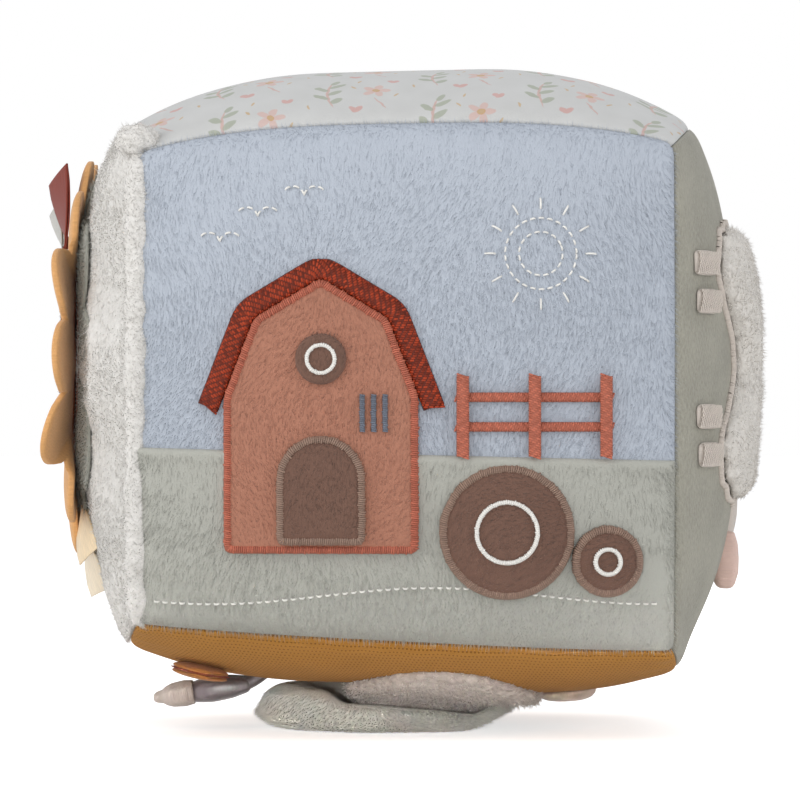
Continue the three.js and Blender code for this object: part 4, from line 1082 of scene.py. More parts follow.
def seam_allowances():
    """The cloths' turned-in edges: a cord under each of the twelve seams."""
    points, faces, spots = [], [], []
    for along in range(3):
        for side in ([-1, -1], [-1, 1], [1, -1], [1, 1]):
            _, line, out = seam_line(along, side, 0.6)
            made, its_faces, its_spots = tube(line, out, np.full((len(line), 2), 0.8), 8)
            faces += [[i + len(points) * len(made) for i in f] for f in its_faces]
            points.append(made)
            spots.append(its_spots)
    return make_object("seam_allowances", np.vstack(points), faces, np.vstack(spots))


dress(seam_allowances(), leaf_cloth)

# %% [markdown]
# ## The picture on the front
# A farm picture of plush pieces: each is cut out, laid on the front, and its raw edge is covered by
# satin stitch, threads set close together across the edge over a low core. The barn, the fence and the
# bales sit where the CAD nodes are. Satin stitch could be one bumpy band; real threads catch the light
# one by one, so the stitch tree lays them.

# %% Paths on a face
def resampled(path, step, closed=False):
    """The path again, with points about a step apart."""
    path = np.asarray(path, float)
    if closed:
        path = np.vstack([path, path[:1]])
    at = lengths_along(path)
    count = max(2, int(round(at[-1] / step)) + 1)
    want = np.linspace(0, at[-1], count)
    made = np.stack([np.interp(want, at, path[:, k]) for k in (0, 1)], -1)
    return made[:-1] if closed else made


def rounded(path, radius, closed=False):
    """A path with soft corners: a moving mean over about twice the radius."""
    fine = resampled(path, 0.5, closed)
    n = max(1, int(radius / 0.5))
    if closed:
        wide = np.concatenate([fine[-n:], fine, fine[:n]])
    else:
        wide = np.concatenate([np.repeat(fine[:1], n, 0), fine, np.repeat(fine[-1:], n, 0)])
    kernel = np.ones(2 * n + 1) / (2 * n + 1)
    return np.stack([np.convolve(wide[:, k], kernel, "valid") for k in (0, 1)], -1)


def directions(path, closed=False):
    """The way along a path at each of its points."""
    if closed:
        run = np.roll(path, -1, 0) - np.roll(path, 1, 0)
    else:
        run = np.gradient(path, axis=0)
    return run / (np.linalg.norm(run, axis=1, keepdims=True) + 1e-9)


def to_the_left(way):
    return np.stack([-way[:, 1], way[:, 0]], -1)


def moved_left(path, distance, closed=False):
    return path + distance * to_the_left(directions(path, closed))


def circle(middle, radius, count=72):
    a = np.linspace(0, 2 * np.pi, count, endpoint=False)
    return np.stack([middle[0] + radius * np.cos(a), middle[1] + radius * np.sin(a)], -1)


def in_space(face, flat):
    """A direction in the face as a direction in space."""
    return flat[:, :1] * face.across + flat[:, 1:] * face.up


def crossing(path, closed, slant):
    """The way across a path at each of its points, turned a little along it by the slant."""
    way = directions(path, closed)
    cross = to_the_left(way) + slant * way
    return cross / np.linalg.norm(cross, axis=1, keepdims=True)


def satin_threads(name, face, path, width, lift, material, closed=False, thread=0.5, pitch=0.5,
                  arch=0.8, slant=0.12):
    """Threads set close together across a path on a face."""
    path = resampled(path, pitch, closed)
    cross = crossing(path, closed, slant)
    dice = np.random.default_rng(len(path))
    path = path + cross * dice.normal(0, 0.05 * min(width, 2), (len(path), 1))
    up = face.outward(path[:, 0], path[:, 1])
    middles = face.spots(path[:, 0], path[:, 1], lift)
    wide = width * dice.uniform(0.93, 1.07, len(path))
    return stitches(name, middles, in_space(face, cross), up, wide, thread, arch, material)


def filling_threads(name, face, path, width, lift, rise, material, thread=0.55, pitch=0.56, stitch=1.3,
                    slant=0.35):
    """Rows of short stitches across a wide band, each row starting a step further on than the last."""
    path = resampled(path, pitch)
    cross = crossing(path, False, slant)
    rows = []
    for k, (spot, across) in enumerate(zip(path, cross)):
        cuts = np.arange(-width / 2 - (k * 0.37 % 1) * stitch, width / 2, stitch)
        for a, b in np.clip(np.stack([cuts, cuts + stitch * 1.06], -1), -width / 2, width / 2):
            if b - a > 0.3:
                rows.append([*(spot + across * (a + b) / 2), *across, b - a, (a + b) / width])
    rows = np.array(rows)
    x, y, across, share = rows[:, 0], rows[:, 1], rows[:, 2:4], rows[:, 5]
    height = rise * np.clip(1 - share**2, 0, 1) ** 0.35
    up = face.outward(x, y) + 0.45 * (share**3)[:, None] * in_space(face, across)
    return stitches(name, face.spots(x, y, lift + height), in_space(face, across), up, rows[:, 4], thread,
                    0.3, material)


def ridge(name, face, path, width, height, lift, closed=False):
    """A low rounded core along a path: what the threads lie on."""
    path = resampled(path, 0.7, closed)
    profile = [(math.cos(a), math.sin(a) ** 0.7 if math.sin(a) > 0 else 0.0)
               for a in np.linspace(0, math.pi, 7)]
    rows = [face.spots(*moved_left(path, width / 2 * c, closed).T, lift + height * s) for c, s in profile]
    rows.append(face.spots(*path.T, lift - 0.2))
    rings = np.stack(rows, 1)
    count, around = rings.shape[:2]
    points = rings.reshape(-1, 3)
    if closed:
        faces = [[i % len(points) for i in f] for f in grid_faces(count + 1, around, True)]
    else:
        faces = grid_faces(count, around, True) + end_faces(count, around)
    return make_object(name, points, outwards(points, faces), np.repeat(path, around, 0))


def band(name, face, path, width, height, lift, material, replaces, slot, closed=False, filled=False,
         **thread):
    """A stitched band: a core, and over it threads across, or for a filled one rows of short stitches."""
    # The core wears the thread's material without a thread_shade, so it takes the darkest tone: painted shade
    # in the gaps between the threads.
    dress(ridge(name, face, path, width, height, lift, closed), material, replaces=replaces, slot=slot)
    if filled:
        filling_threads(name + "_threads", face, path, width * 1.04, lift, height, material, **thread)
    else:
        satin_threads(name + "_threads", face, path, width * 1.08, lift + height + 0.02, material, closed,
                      **thread)


print("a circle of radius 5 in 1 mm steps has", len(resampled(circle((0, 0), 5), 1, True)), "points")

# %% A cut shape of plush
def cut_shape(name, face, outline, middle, thickness, lift, crown=0.0, soft=1.2, step=1.0, bumps=None,
              ring=1.6):
    """Cloth cut to an outline and laid on a face, its edge rounded; the outline is seen whole from
    its middle."""
    outline = resampled(outline, step, True)
    middle = np.asarray(middle, float)
    reach = np.linalg.norm(outline - middle, axis=1).mean()
    rings = max(6, int(reach / ring))
    shares = np.sin(np.linspace(0, np.pi / 2, rings + 1)[1:]) ** 0.85
    spots = np.concatenate([[middle], *[middle + s * (outline - middle) for s in shares]])
    share = np.concatenate([[0], np.repeat(shares, len(outline))])
    rim = np.concatenate([[reach], *[(1 - s) * np.linalg.norm(outline - middle, axis=1) for s in shares]])
    near = np.clip(rim / soft, 0, 1)
    height = thickness * (0.25 + 0.75 * np.sqrt(1 - (1 - near) ** 2)) + crown * (1 - share**2)
    if bumps is not None:
        height = height + bumps(spots[:, 0], spots[:, 1]) * near
    faces = disc_faces(rings, len(outline))
    upper, lower = face.spots(*spots.T, lift + height), face.spots(*spots.T, lift - 0.1)
    return closed_sheet(name, upper, lower, faces, spots), (upper, faces, spots)


def shape_nap(name, face, skin, material, sizes, turn, seed):
    points, faces, spots = skin
    ways = combed(face, spots[:, 0], spots[:, 1], turn, 0.7, seed)
    return pile(name, points, facing(face, points, faces), ways, sizes, material, seed)


# How high a cloth's underside lies over the cover, and over another patch on it.
LIFT = 0.35
ON_PATCH = LIFT + 1.6 + 0.25
BROWN = brown_plush, brown_fibre, "brown_plush"


def applique(name, outline, middle, thickness, lift, look, hair, **shape):
    """A cut shape of plush on the front with its nap. look is its cloth, fibres and slot; hair is the
    nap's name, length, turn and seed."""
    cloth, fibres, slot = look
    nap_name, length, turn, seed = hair
    made, skin = cut_shape(name, front, outline, middle, thickness, lift, **shape)
    dress(made, cloth, replaces=[name], slot=slot)
    shape_nap(nap_name, front, skin, fibres, (260, length, 0.12, 0.2, 0.25), turn, seed)
    return made


barn_x = -20.0
gable = [(22, -1), (15, 17), (0, 26), (-15, 17), (-22, -1)]
walls = [(barn_x + x, y) for x, y in gable + [(-22, -37), (22, -37)]]
barn = applique("barn_wall", rounded(walls, 1.0, True), (barn_x, -6), 1.5, LIFT,
                (barn_plush, barn_fibre, "terracotta_plush"), ("barn_nap", 1.5, 1.5, 5),
                bumps=lambda x, y: 0.12 * np.sin(x / 2.7) * np.sin(y / 3.1))
band("barn_border", front, rounded(walls, 0.8, True), 2.0, 1.3, LIFT + 0.3, salmon_thread,
     ["barn_wall_border"], "salmon_stitch", True)
print("barn wall:", len(barn.data.polygons), "faces")

# %% Roof, door, window and louvres
roof_line = moved_left(resampled(rounded([(barn_x + x, y) for x, y in gable], 0.6), 1.0), -3.55)
start, end = roof_line[0], roof_line[-1]
first, last = ((a - b) / np.linalg.norm(a - b) for a, b in ((start, roof_line[3]), (end, roof_line[-4])))
roof_line = np.vstack([[start + first * 4.0], roof_line, [end + last * 4.0]])
band("barn_roof", front, roof_line, 5.2, 1.2, LIFT, rust_thread, ["barn_roof"], "rust_satin", filled=True)
sill, half_door = -35.0, 9.5
arch = [(barn_x + half_door * math.cos(a), sill + 14.5 + half_door * math.sin(a))
        for a in np.linspace(0, math.pi, 13)]
door_line = arch + [(barn_x - half_door, sill), (barn_x + half_door, sill)]
applique("barn_door", rounded(door_line, 0.6, True), (barn_x, sill + 12), 1.4, ON_PATCH, BROWN,
         ("door_nap", 1.3, 1.5, 6))
band("door_border", front, rounded(door_line, 0.5, True), 1.9, 1.2, ON_PATCH + 0.2, taupe_thread,
     ["barn_door_border"], "taupe_stitch", True)
loft = (barn_x, 8.0)
applique("loft_window", circle(loft, 6.0), loft, 1.4, ON_PATCH, BROWN, ("window_nap", 1.2, 0.8, 7))
band("loft_window_ring", front, circle(loft, 3.3), 0.9, 0.5, ON_PATCH + 1.5, white_thread,
     ["loft_window_ring"], "white_stitch", True, thread=0.4, arch=0.4)
for i in range(3):
    x = barn_x + 12.5 + (i - 1) * 2.7
    band(f"louvre_{i + 1}", front, [(x, -9.0), (x, -0.5)], 1.2, 0.5, ON_PATCH, slate_thread,
         [f"louvre_{i + 1}"], "slate_stitch", thread=0.4, arch=0.5)
print("roof line:", len(roof_line), "points")

# %% Fence and bales
fence_start = barn_x + 22 + 5.2 + 4 + 0.8
fence_end = fence_start + 2 * 17 + 3
for label, height in (("upper", -1.0), ("lower", -8.0)):
    band(f"fence_rail_{label}", front, [(fence_start, height), (fence_end, height)], 2.3, 1.0, LIFT,
         salmon_thread, [f"fence_rail_{label}"], "salmon_stitch", filled=True, stitch=1.2)
for i in range(3):
    x = fence_start + 1.5 + i * 17
    band(f"fence_post_{i + 1}", front, [(x, -15.0), (x, 4.0)], 3.0, 1.1, LIFT + 1.5, salmon_thread,
         [f"fence_post_{i + 1}"], "salmon_stitch", filled=True, stitch=1.3)
for name, middle, radius, ring in (("bale_large", (24, -33), 15.0, 7.2), ("bale_small", (48, -40), 7.5, 3.0)):
    applique(name, circle(middle, radius), middle, 1.5, LIFT, BROWN, (name + "_nap", 1.5, 0.6, 8), crown=0.5)
    band(name + "_border", front, circle(middle, radius, 120), 2.0, 1.3, LIFT + 0.3, taupe_thread,
         [name + "_border"], "taupe_stitch", True)
    band(name + "_ring", front, circle(middle, ring), 1.0, 0.6, ON_PATCH + 0.2, white_thread,
         [name + "_ring"], "white_stitch", True, thread=0.4, arch=0.4)
print("fence from", fence_start, "to", fence_end, "mm")

# %% [markdown]
# Running stitch is one thread that dips in and out of the cloth: short raised stitches with small gaps,
# each pressed into the nap. A sun, two birds and the furrows of the field are drawn with it.

# %% Running stitches
def running(face, paths, lift=0.5, stitch=1.35, gap=0.7):
    """Middles, directions and lengths of the stitches along some paths."""
    middles, ways, lengths = [], [], []
    for path in paths:
        path = resampled(path, 0.1)
        along = lengths_along(path)
        count = max(1, int((along[-1] + gap) / (stitch + gap)))
        real = (along[-1] + gap) / count - gap
        for k in range(count):
            start = k * (real + gap)
            a, b = (np.array([np.interp(s, along, path[:, i]) for i in (0, 1)])
                    for s in (start, start + real))
            middles.append((a + b) / 2)
            ways.append((b - a) / np.linalg.norm(b - a))
            lengths.append(real)
    middles, ways = np.array(middles), np.array(ways)
    points = face.spots(middles[:, 0], middles[:, 1], lift)
    return points, in_space(face, ways), face.outward(middles[:, 0], middles[:, 1]), lengths


def arc(middle, radius, start, end):
    a = np.linspace(start, end, 40)
    return [(middle[0] + radius * math.cos(t), middle[1] + radius * math.sin(t)) for t in a]


sun = (32.0, 33.0)
sun_paths = [arc(sun, 8.5, 0, 2 * math.pi), arc(sun, 5.2, 0.4, 2 * math.pi + 0.4)]
for k in range(12):
    a = k * math.pi / 6
    sun_paths.append([(sun[0] + r * math.cos(a), sun[1] + r * math.sin(a)) for r in (10.6, 13.4)])
bird_paths = []
for x, y in ((-35, 42), (-24, 47), (-44, 36)):
    bird_paths += [arc((x - 2.6, y - 0.6), 2.7, 0.2, 2.4), arc((x + 2.6, y - 0.6), 2.7, 0.75, 2.95)]
white_lines = stitches("white_sky_stitches", *running(front, sun_paths + bird_paths, 0.6), 0.52, 0.6,
                       white_thread)
furrow = [(x, -45 - 3.2 + 2.0 * math.sin((x + 20) / 17)) for x in np.arange(-60, 61, 2.0)]
stitches("white_field_stitches", *running(front, [furrow], 0.7), 0.52, 0.6, white_thread)
print("running stitches:", len(white_lines.data.polygons) // 22)

# %% [markdown]
# ## The sheep on the right
# A woolly body stands out from the sewn rim around it, four embroidered feet point to the front seam,
# and a soft ear hangs loose. Stuffed pieces are what a cloth simulation is for: a closed shape is
# remeshed into even cells and blown up a little, which gives it the tight middle and the slack edge of
# sewn cloth.

# %% Blown-up padding
def settled(thing):
    """Gives a piece the mesh that its modifiers make."""
    mesh = applied(thing)
    thing.modifiers.clear()
    thing.data = mesh
    return mesh


def coordinates(mesh, kind="co"):
    """The points of a mesh, in metres, or its normals."""
    found = np.zeros(len(mesh.vertices) * 3)
    mesh.vertices.foreach_get(kind, found)
    return found.reshape(-1, 3)


def inflated(thing, voxel, pressure, cap, frames=20):
    """Remeshes a closed shape, blows it up as cloth, and moves no point by more than cap millimetres."""
    scene = bpy.context.scene
    remesh = thing.modifiers.new("remesh", "REMESH")
    remesh.mode, remesh.voxel_size = "VOXEL", voxel * MM
    mesh = settled(thing)
    if not len(mesh.vertices):
        raise RuntimeError(thing.name + " was lost in the remesh")
    before = coordinates(mesh)
    cloth = thing.modifiers.new("cloth", "CLOTH")
    cloth.settings.use_pressure = True
    cloth.settings.uniform_pressure_force = pressure
    cloth.settings.effector_weights.gravity = 0
    cloth.settings.mass = 0.2
    cloth.settings.tension_stiffness = cloth.settings.compression_stiffness = 20
    cloth.point_cache.frame_start, cloth.point_cache.frame_end = 1, frames
    for frame_number in range(1, frames + 1):
        scene.frame_set(frame_number)
    depsgraph = bpy.context.evaluated_depsgraph_get()
    move = coordinates(thing.evaluated_get(depsgraph).data) - before
    thing.modifiers.clear()
    far = np.linalg.norm(move, axis=1, keepdims=True)
    move *= np.minimum(1, cap * MM / (far + 1e-12))
    mesh.vertices.foreach_set("co", (before + move).ravel())
    mesh.update()
    scene.frame_set(1)
    print(thing.name, "moved by up to", round(float(far.max()) / MM, 2), "mm, kept to", cap)
    return thing


def subdivided(thing):
    """Applies one level of subdivision surface."""
    modifier = thing.modifiers.new("smooth", "SUBSURF")
    modifier.levels = modifier.render_levels = 1
    mesh = settled(thing)
    mesh.polygons.foreach_set("use_smooth", [True] * len(mesh.polygons))
    return thing


def flat_map(thing, spots):
    """A UV map cloth whose places, in millimetres, spots works out from the piece's points."""
    mesh = thing.data
    corners = np.zeros(len(mesh.loops), np.int64)
    mesh.loops.foreach_get("vertex_index", corners)
    while mesh.uv_layers:
        mesh.uv_layers.remove(mesh.uv_layers[0])
    uv = spots(coordinates(mesh) / MM)[corners]
    mesh.uv_layers.new(name="cloth").data.foreach_set("uv", uv.astype(np.float32).ravel())


def moved_out(thing, shift):
    """Moves each point of a piece along its normal by a field of its place, in millimetres."""
    mesh = thing.data
    points, normals = coordinates(mesh), coordinates(mesh, "normal")
    points = points + normals * shift(points / MM)[:, None] * MM
    mesh.vertices.foreach_set("co", points.ravel())
    mesh.update()


def skin_of(thing):
    """Points in millimetres and faces of a piece."""
    return coordinates(thing.data) / MM, [list(p.vertices) for p in thing.data.polygons]


print("padding is blown up for 20 frames")

# %% The woolly body
def squared(angle, power):
    """How far out a rounded square reaches at an angle: the higher the power, the squarer."""
    return 1 / (np.abs(np.cos(angle)) ** power + np.abs(np.sin(angle)) ** power) ** (1 / power)


def wool_outline():
    """A curly rounded square, hollow on the side of its head."""
    a = np.linspace(0, 2 * np.pi, 160, endpoint=False)
    depth, height = np.cos(a), np.sin(a)
    arched = np.clip(1 - (height / 0.625) ** 2, 0, None) ** 2
    hollow = 19.0 * np.clip(-depth, 0, None) * arched
    square = squared(a, 4)
    curls = 0.5 * np.sin(23 * a) + 0.3 * np.sin(37 * a + 1)
    x = -19.0 + (31.5 + curls) * depth * square + hollow
    return np.stack([x, 7.5 + (34.0 + curls) * height * square], -1)


wool_line = wool_outline()
body, _ = cut_shape("sheep_body", right, wool_line, (-19 + 4, 7.5), 3.2, LIFT, crown=2.6, soft=4.5, step=1.1)
inflated(body, 1.7, 4.0, 1.0)
subdivided(body)
moved_out(body, lambda p: np.where(p[:, 0] > 78, 0.9 * hills(p[:, 1], p[:, 2], 4.4, 5)
                                   + 0.3 * hills(p[:, 1], p[:, 2], 2.2, 6) - 0.7, 0))
flat_map(body, lambda p: p[:, 1:])
dress(body, body_wool, replaces=["sheep_fleece"], slot="fleece")
points, faces = skin_of(body)
pile("sheep_body_curls", points, faces, combed(right, points[:, 1], points[:, 2], 0.3, 3.0),
     (150, 1.6, 0.24, 0.6, 0.9), body_fibre, 9)
print("sheep body:", len(body.data.polygons), "faces")

# %% Its sewn rim, feet and face
satin_threads("sheep_rim_threads", right, moved_left(wool_line, -0.2, True), 1.3, LIFT + 0.6, cream_thread,
              True, 0.46, 0.36, 0.7, 0.2)
legs = [z + s * 4.6 for z in (26.7, -10.2) for s in (1, -1)]
for i, height in enumerate(legs):
    a = np.linspace(0, 2 * np.pi, 48, endpoint=False)
    square = squared(a, 5)
    middle = -57.0 + 0.9 * (i % 2)
    line = np.stack([middle + 5.5 * np.cos(a) * square, height + 3.0 * np.sin(a) * square], -1)
    leg, _ = cut_shape(f"sheep_leg_{i + 1}", right, line, (middle, height), 1.1, LIFT, crown=0.3, step=0.6)
    dress(leg, face_cloth, replaces=[f"sheep_leg_{i + 1}"], slot="cream_velour")
    row = [(middle - 5.8, height), (middle + 5.1, height)]
    filling_threads(f"sheep_leg_{i + 1}_threads", right, row, 5.8, LIFT + 0.9, 0.75, cream_thread,
                    thread=0.42, pitch=0.4, stitch=1.3, slant=0.2)
head_line = np.array([(16 + 11.5 * math.cos(a) * (1 - 0.12 * math.sin(a)), -33.5 + 12.5 * math.sin(a))
                      for a in np.linspace(0, 2 * np.pi, 90, endpoint=False)])
head, _ = cut_shape("sheep_head", right, head_line, (16, -33.5), 1.5, LIFT, crown=1.6)
dress(head, face_cloth, replaces=["sheep_head"], slot="cream_velour")
satin_threads("sheep_head_rim", right, head_line, 1.6, LIFT + 0.7, cream_thread, True, 0.45, 0.42, 0.9)
eye_paths = [arc((12.3, -31.5), 2.2, 3.5, 5.9), arc((20.2, -31.5), 2.2, 3.5, 5.9),
             arc((15.2, -38.6), 1.3, 3.4, 6.1), arc((17.6, -38.6), 1.3, 3.4, 6.1)]
stitches("sheep_face_stitches", *running(right, eye_paths, 2.9, 1.2, 0.05), 0.6, 0.6, slate_thread)
print("feet at heights", [round(z + CENTRE[2], 1) for z in legs])

# %% [markdown]
# Ribbons, tags, the ear, the limb and the tab are strips that start at a seam and end free. Each has a
# root, a way along it, a hinge line across it and a list of sections, as in the CAD model, and it is
# built there with many more points.

# %% Strips with a root
def joint_of(name):
    return [j for j in frame["joints"] if j["name"] == name][0]


def strip_frame(joint, along):
    """A strip's root and its directions: along it, across it and off it."""
    found = joint_of(joint)
    root = np.array(found["pos_m"]) / MM
    x = np.array(along, float) / np.linalg.norm(along)
    axis = np.array(found["axis"], float)
    z = np.cross(x, axis)
    z /= np.linalg.norm(z)
    return root, x, np.cross(z, x), z


def sections(table, count):
    """A table of (along, width, thickness) shares, filled in smoothly to count rows."""
    table = np.array(table, float)
    t = np.linspace(table[0, 0], table[-1, 0], count)
    return t, np.interp(t, table[:, 0], table[:, 1]), np.interp(t, table[:, 0], table[:, 2])


def strip(name, place, length, width, thickness, table, rows=22, around=32, start=0.0, bend=None,
          square=0.6, offset=0.0):
    """A closed padded strip: rings of rounded sections, the last one drawn in to an end."""
    root, x, y, z = place
    t, wide, thick = sections(table, rows)
    a = np.linspace(0, 2 * np.pi, around, endpoint=False)
    ca = np.sign(np.cos(a)) * np.abs(np.cos(a)) ** square
    sa = np.sign(np.sin(a)) * np.abs(np.sin(a)) ** square
    cap = np.array([1.0, 0.92, 0.75, 0.45])
    t = np.concatenate([t, 1 + np.array([0.3, 0.55, 0.7]) * thickness / length / 2])
    wide = np.concatenate([wide, wide[-1] * (1 - (1 - cap[1:]) * thickness / width)])
    thick = np.concatenate([thick, thick[-1] * cap[1:]])
    along = start + t * length
    bent = np.zeros_like(along) if bend is None else bend(t)
    points = (root + along[:, None, None] * x + (width / 2 * wide[:, None] * ca)[..., None] * y
              + (thickness / 2 * thick[:, None] * sa + bent[:, None] + offset)[..., None] * z)
    spots = np.stack([np.broadcast_to(width / 2 * wide[:, None] * ca, points.shape[:2]),
                      np.broadcast_to(along[:, None], points.shape[:2])], -1)
    count = len(t)
    faces = grid_faces(count, around, True)
    points, spots = points.reshape(-1, 3), spots.reshape(-1, 2)
    ends = [points[:around].mean(0), points[-around:].mean(0)]
    n = len(points)
    points, spots = np.vstack([points, ends]), np.vstack([spots, spots[:1], spots[-1:]])
    faces += [[n, (i + 1) % around, i] for i in range(around)]
    faces += [[n + 1, n - around + i, n - around + (i + 1) % around] for i in range(around)]
    return make_object(name, points, outwards(points, faces), spots)


def hung(thing, material, body, replaces=(), slot=None):
    """Dresses a strip with its material, its place set into its points, and hides the CAD nodes that it
    stands for; body is not used.
    """
    thing.data.materials.clear()
    thing.data.materials.append(material)
    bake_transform(thing)
    if replaces:
        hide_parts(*replaces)
    return thing


TONGUE = [[0, 0.72, 0.6], [0.25, 0.9, 0.9], [0.55, 1, 1], [0.85, 0.95, 1], [1, 0.8, 0.85]]
ear_place = strip_frame("ear_fold", (-0.027, 0, -1))
ear_place[0][0] -= 2.0
ear = subdivided(strip("sheep_ear", ear_place, 12, 12, 6.6, TONGUE))
hung(ear, ear_cloth, "ear", ["sheep_ear"], "pink_plush")
print("ear:", len(ear.data.polygons), "faces")

# %% [markdown]
# ## The flower on the left
# A ring of scalloped petals stands out from the fleece around a stuffed middle, with leaves and a rust
# layer behind it. The petals are one closed ring: its outer edge follows a wave, each petal is cupped
# between its seams. Its middle is stuffed and carries two rings of orange running stitch.

# %% A wavy ring of cloth
PETALS, PETAL_ROOT, PETAL_NOTCH, PETAL_TIP, CENTRE_RADIUS = 14, 29.0, 40, 50, 28.0
FLOWER_BACK = LIFT + 1.3 + LIFT
# How far the petals stand out at their tips by the angle over the horizontal, as the silhouette has it.
STAND = [[-90, 1.6], [-64, 0.8], [-41, 0.8], [-36, 8.6], [-16, 8.8], [-10, 7.3], [10, 7.3], [16, 6.2],
         [36, 6.2], [41, 1.0], [64, 1.0], [90, 1.8]]


def petal_lift(radius, angle):
    rise = np.interp(np.degrees(np.arcsin(np.sin(angle))), *np.transpose(STAND))
    return FLOWER_BACK + rise * np.clip((radius - PETAL_ROOT) / (PETAL_TIP - PETAL_ROOT), 0, None) ** 1.2


def leaf_lift(radius, angle):
    """The lower leaves sink into the fleece at their tips."""
    low = np.clip((8 - np.degrees(np.arcsin(np.sin(angle)))) / 16, 0, 1)
    return LIFT - 0.9 * low * np.clip((radius - 36) / 6, 0, 1)


def wave(angle, count, sharp):
    return np.abs(np.cos(count * angle / 2)) ** sharp


def wavy_ring(name, inner, notch, tip, count, sharp, lift, thickness, each=18, rings=16, cup=0.0):
    """A closed ring of cloth on the left face from an inner radius to a wavy outer one."""
    angle = np.linspace(0, 2 * np.pi, count * each, endpoint=False)
    outer = notch + (tip - notch) * wave(angle, count, sharp)
    share = np.sin(np.linspace(0, np.pi / 2, rings + 1))[:, None]
    radius = inner + (outer - inner) * share
    a = np.broadcast_to(angle, radius.shape)
    x, y = radius * np.cos(a), FLOWER_Z + radius * np.sin(a)
    crest = wave(a, count, 1.0)
    soft = np.sqrt(np.clip(1 - np.clip((share - 0.82) / 0.18, 0, 1) ** 2, 0, 1))
    raised = lift(radius, a) + cup * (crest - 0.6) * share
    fat = thickness * (0.35 + 0.65 * soft) * (0.75 + 0.25 * crest)
    upper = left.spots(x, y, raised + thickness / 2 + fat / 2)
    lower = left.spots(x, y, raised + thickness / 2 - fat / 2)
    spots = np.stack([x, y], -1).reshape(-1, 2)
    faces = grid_faces(rings + 1, count * each, True)
    return closed_sheet(name, upper.reshape(-1, 3), lower.reshape(-1, 3), faces, spots)


base, _ = cut_shape("flower_base", left, circle((0, FLOWER_Z), 33.0, 120), (0, FLOWER_Z), 1.2, LIFT)
dress(base, rust_cloth, replaces=["flower_base"], slot="rust_satin")
leaves = wavy_ring("flower_leaves", 33.35, 39.5, 47.5, 10, 0.7, leaf_lift, 1.3)
dress(leaves, leaf_cloth, replaces=["flower_leaves"], slot="grey_green_plush")
points, faces = skin_of(leaves)
off = (points - CENTRE)[:, 1:] - [0, FLOWER_Z]
off = off / np.linalg.norm(off, axis=1, keepdims=True)
combed_out = np.concatenate([np.zeros((len(off), 1)), off], 1)
pile("flower_leaf_nap", points, faces, combed_out, (200, 1.6, 0.16, 0.45, 0.4), leaf_fibre, 15)
petals = wavy_ring("petal_ring", PETAL_ROOT, PETAL_NOTCH, PETAL_TIP, PETALS, 0.6, petal_lift, 2.3, 24, 18,
                   cup=1.1)
dress(petals, petal_velour, replaces=["petal_ring"], slot="mustard_cloth")
print("petals:", len(petals.data.polygons), "faces")

# %% The stuffed middle
centre, _ = cut_shape("flower_centre", left, circle((0, FLOWER_Z), CENTRE_RADIUS, 110), (0, FLOWER_Z), 1.4,
                      FLOWER_BACK, crown=2.0, soft=2.0)
inflated(centre, 1.0, 4.0, 0.8)
subdivided(centre)
flat_map(centre, lambda p: p[:, 1:])
dress(centre, brown_plush, replaces=["flower_centre"], slot="brown_plush")
points, faces = skin_of(centre)
pile("flower_centre_nap", points, faces, combed(left, points[:, 1], points[:, 2], 0.8),
     (140, 1.6, 0.2, 0.3, 0.35), brown_fibre, 11)
seed_paths = [[(r * math.cos(a), FLOWER_Z + r * math.sin(a)) for a in np.linspace(0, 2 * math.pi, count)]
              for r, count in ((15.0, 80), (7.5, 60))]
middles, ways, ups, lengths = running(left, seed_paths, 0.0, 2.2, 0.9)
off = np.linalg.norm((middles - CENTRE)[:, 1:] - [0, FLOWER_Z], axis=1)
rise = 2.1 * (1 - (off / CENTRE_RADIUS) ** 2)
middles = middles + (FLOWER_BACK + 1.9 + rise)[:, None] * left.normal
stitches("flower_centre_stitches", middles, ways, ups, lengths, 0.7, 0.75, orange_thread)
print("flower centre:", len(centre.data.polygons), "faces")

# %% [markdown]
# The two ribbons by the flower are satin loops: a strip folded double, its ends caught in the petals'
# seam. The tags below it are shorter loops of the same kind. Each loop is a closed band that runs up,
# round its tip and down again.

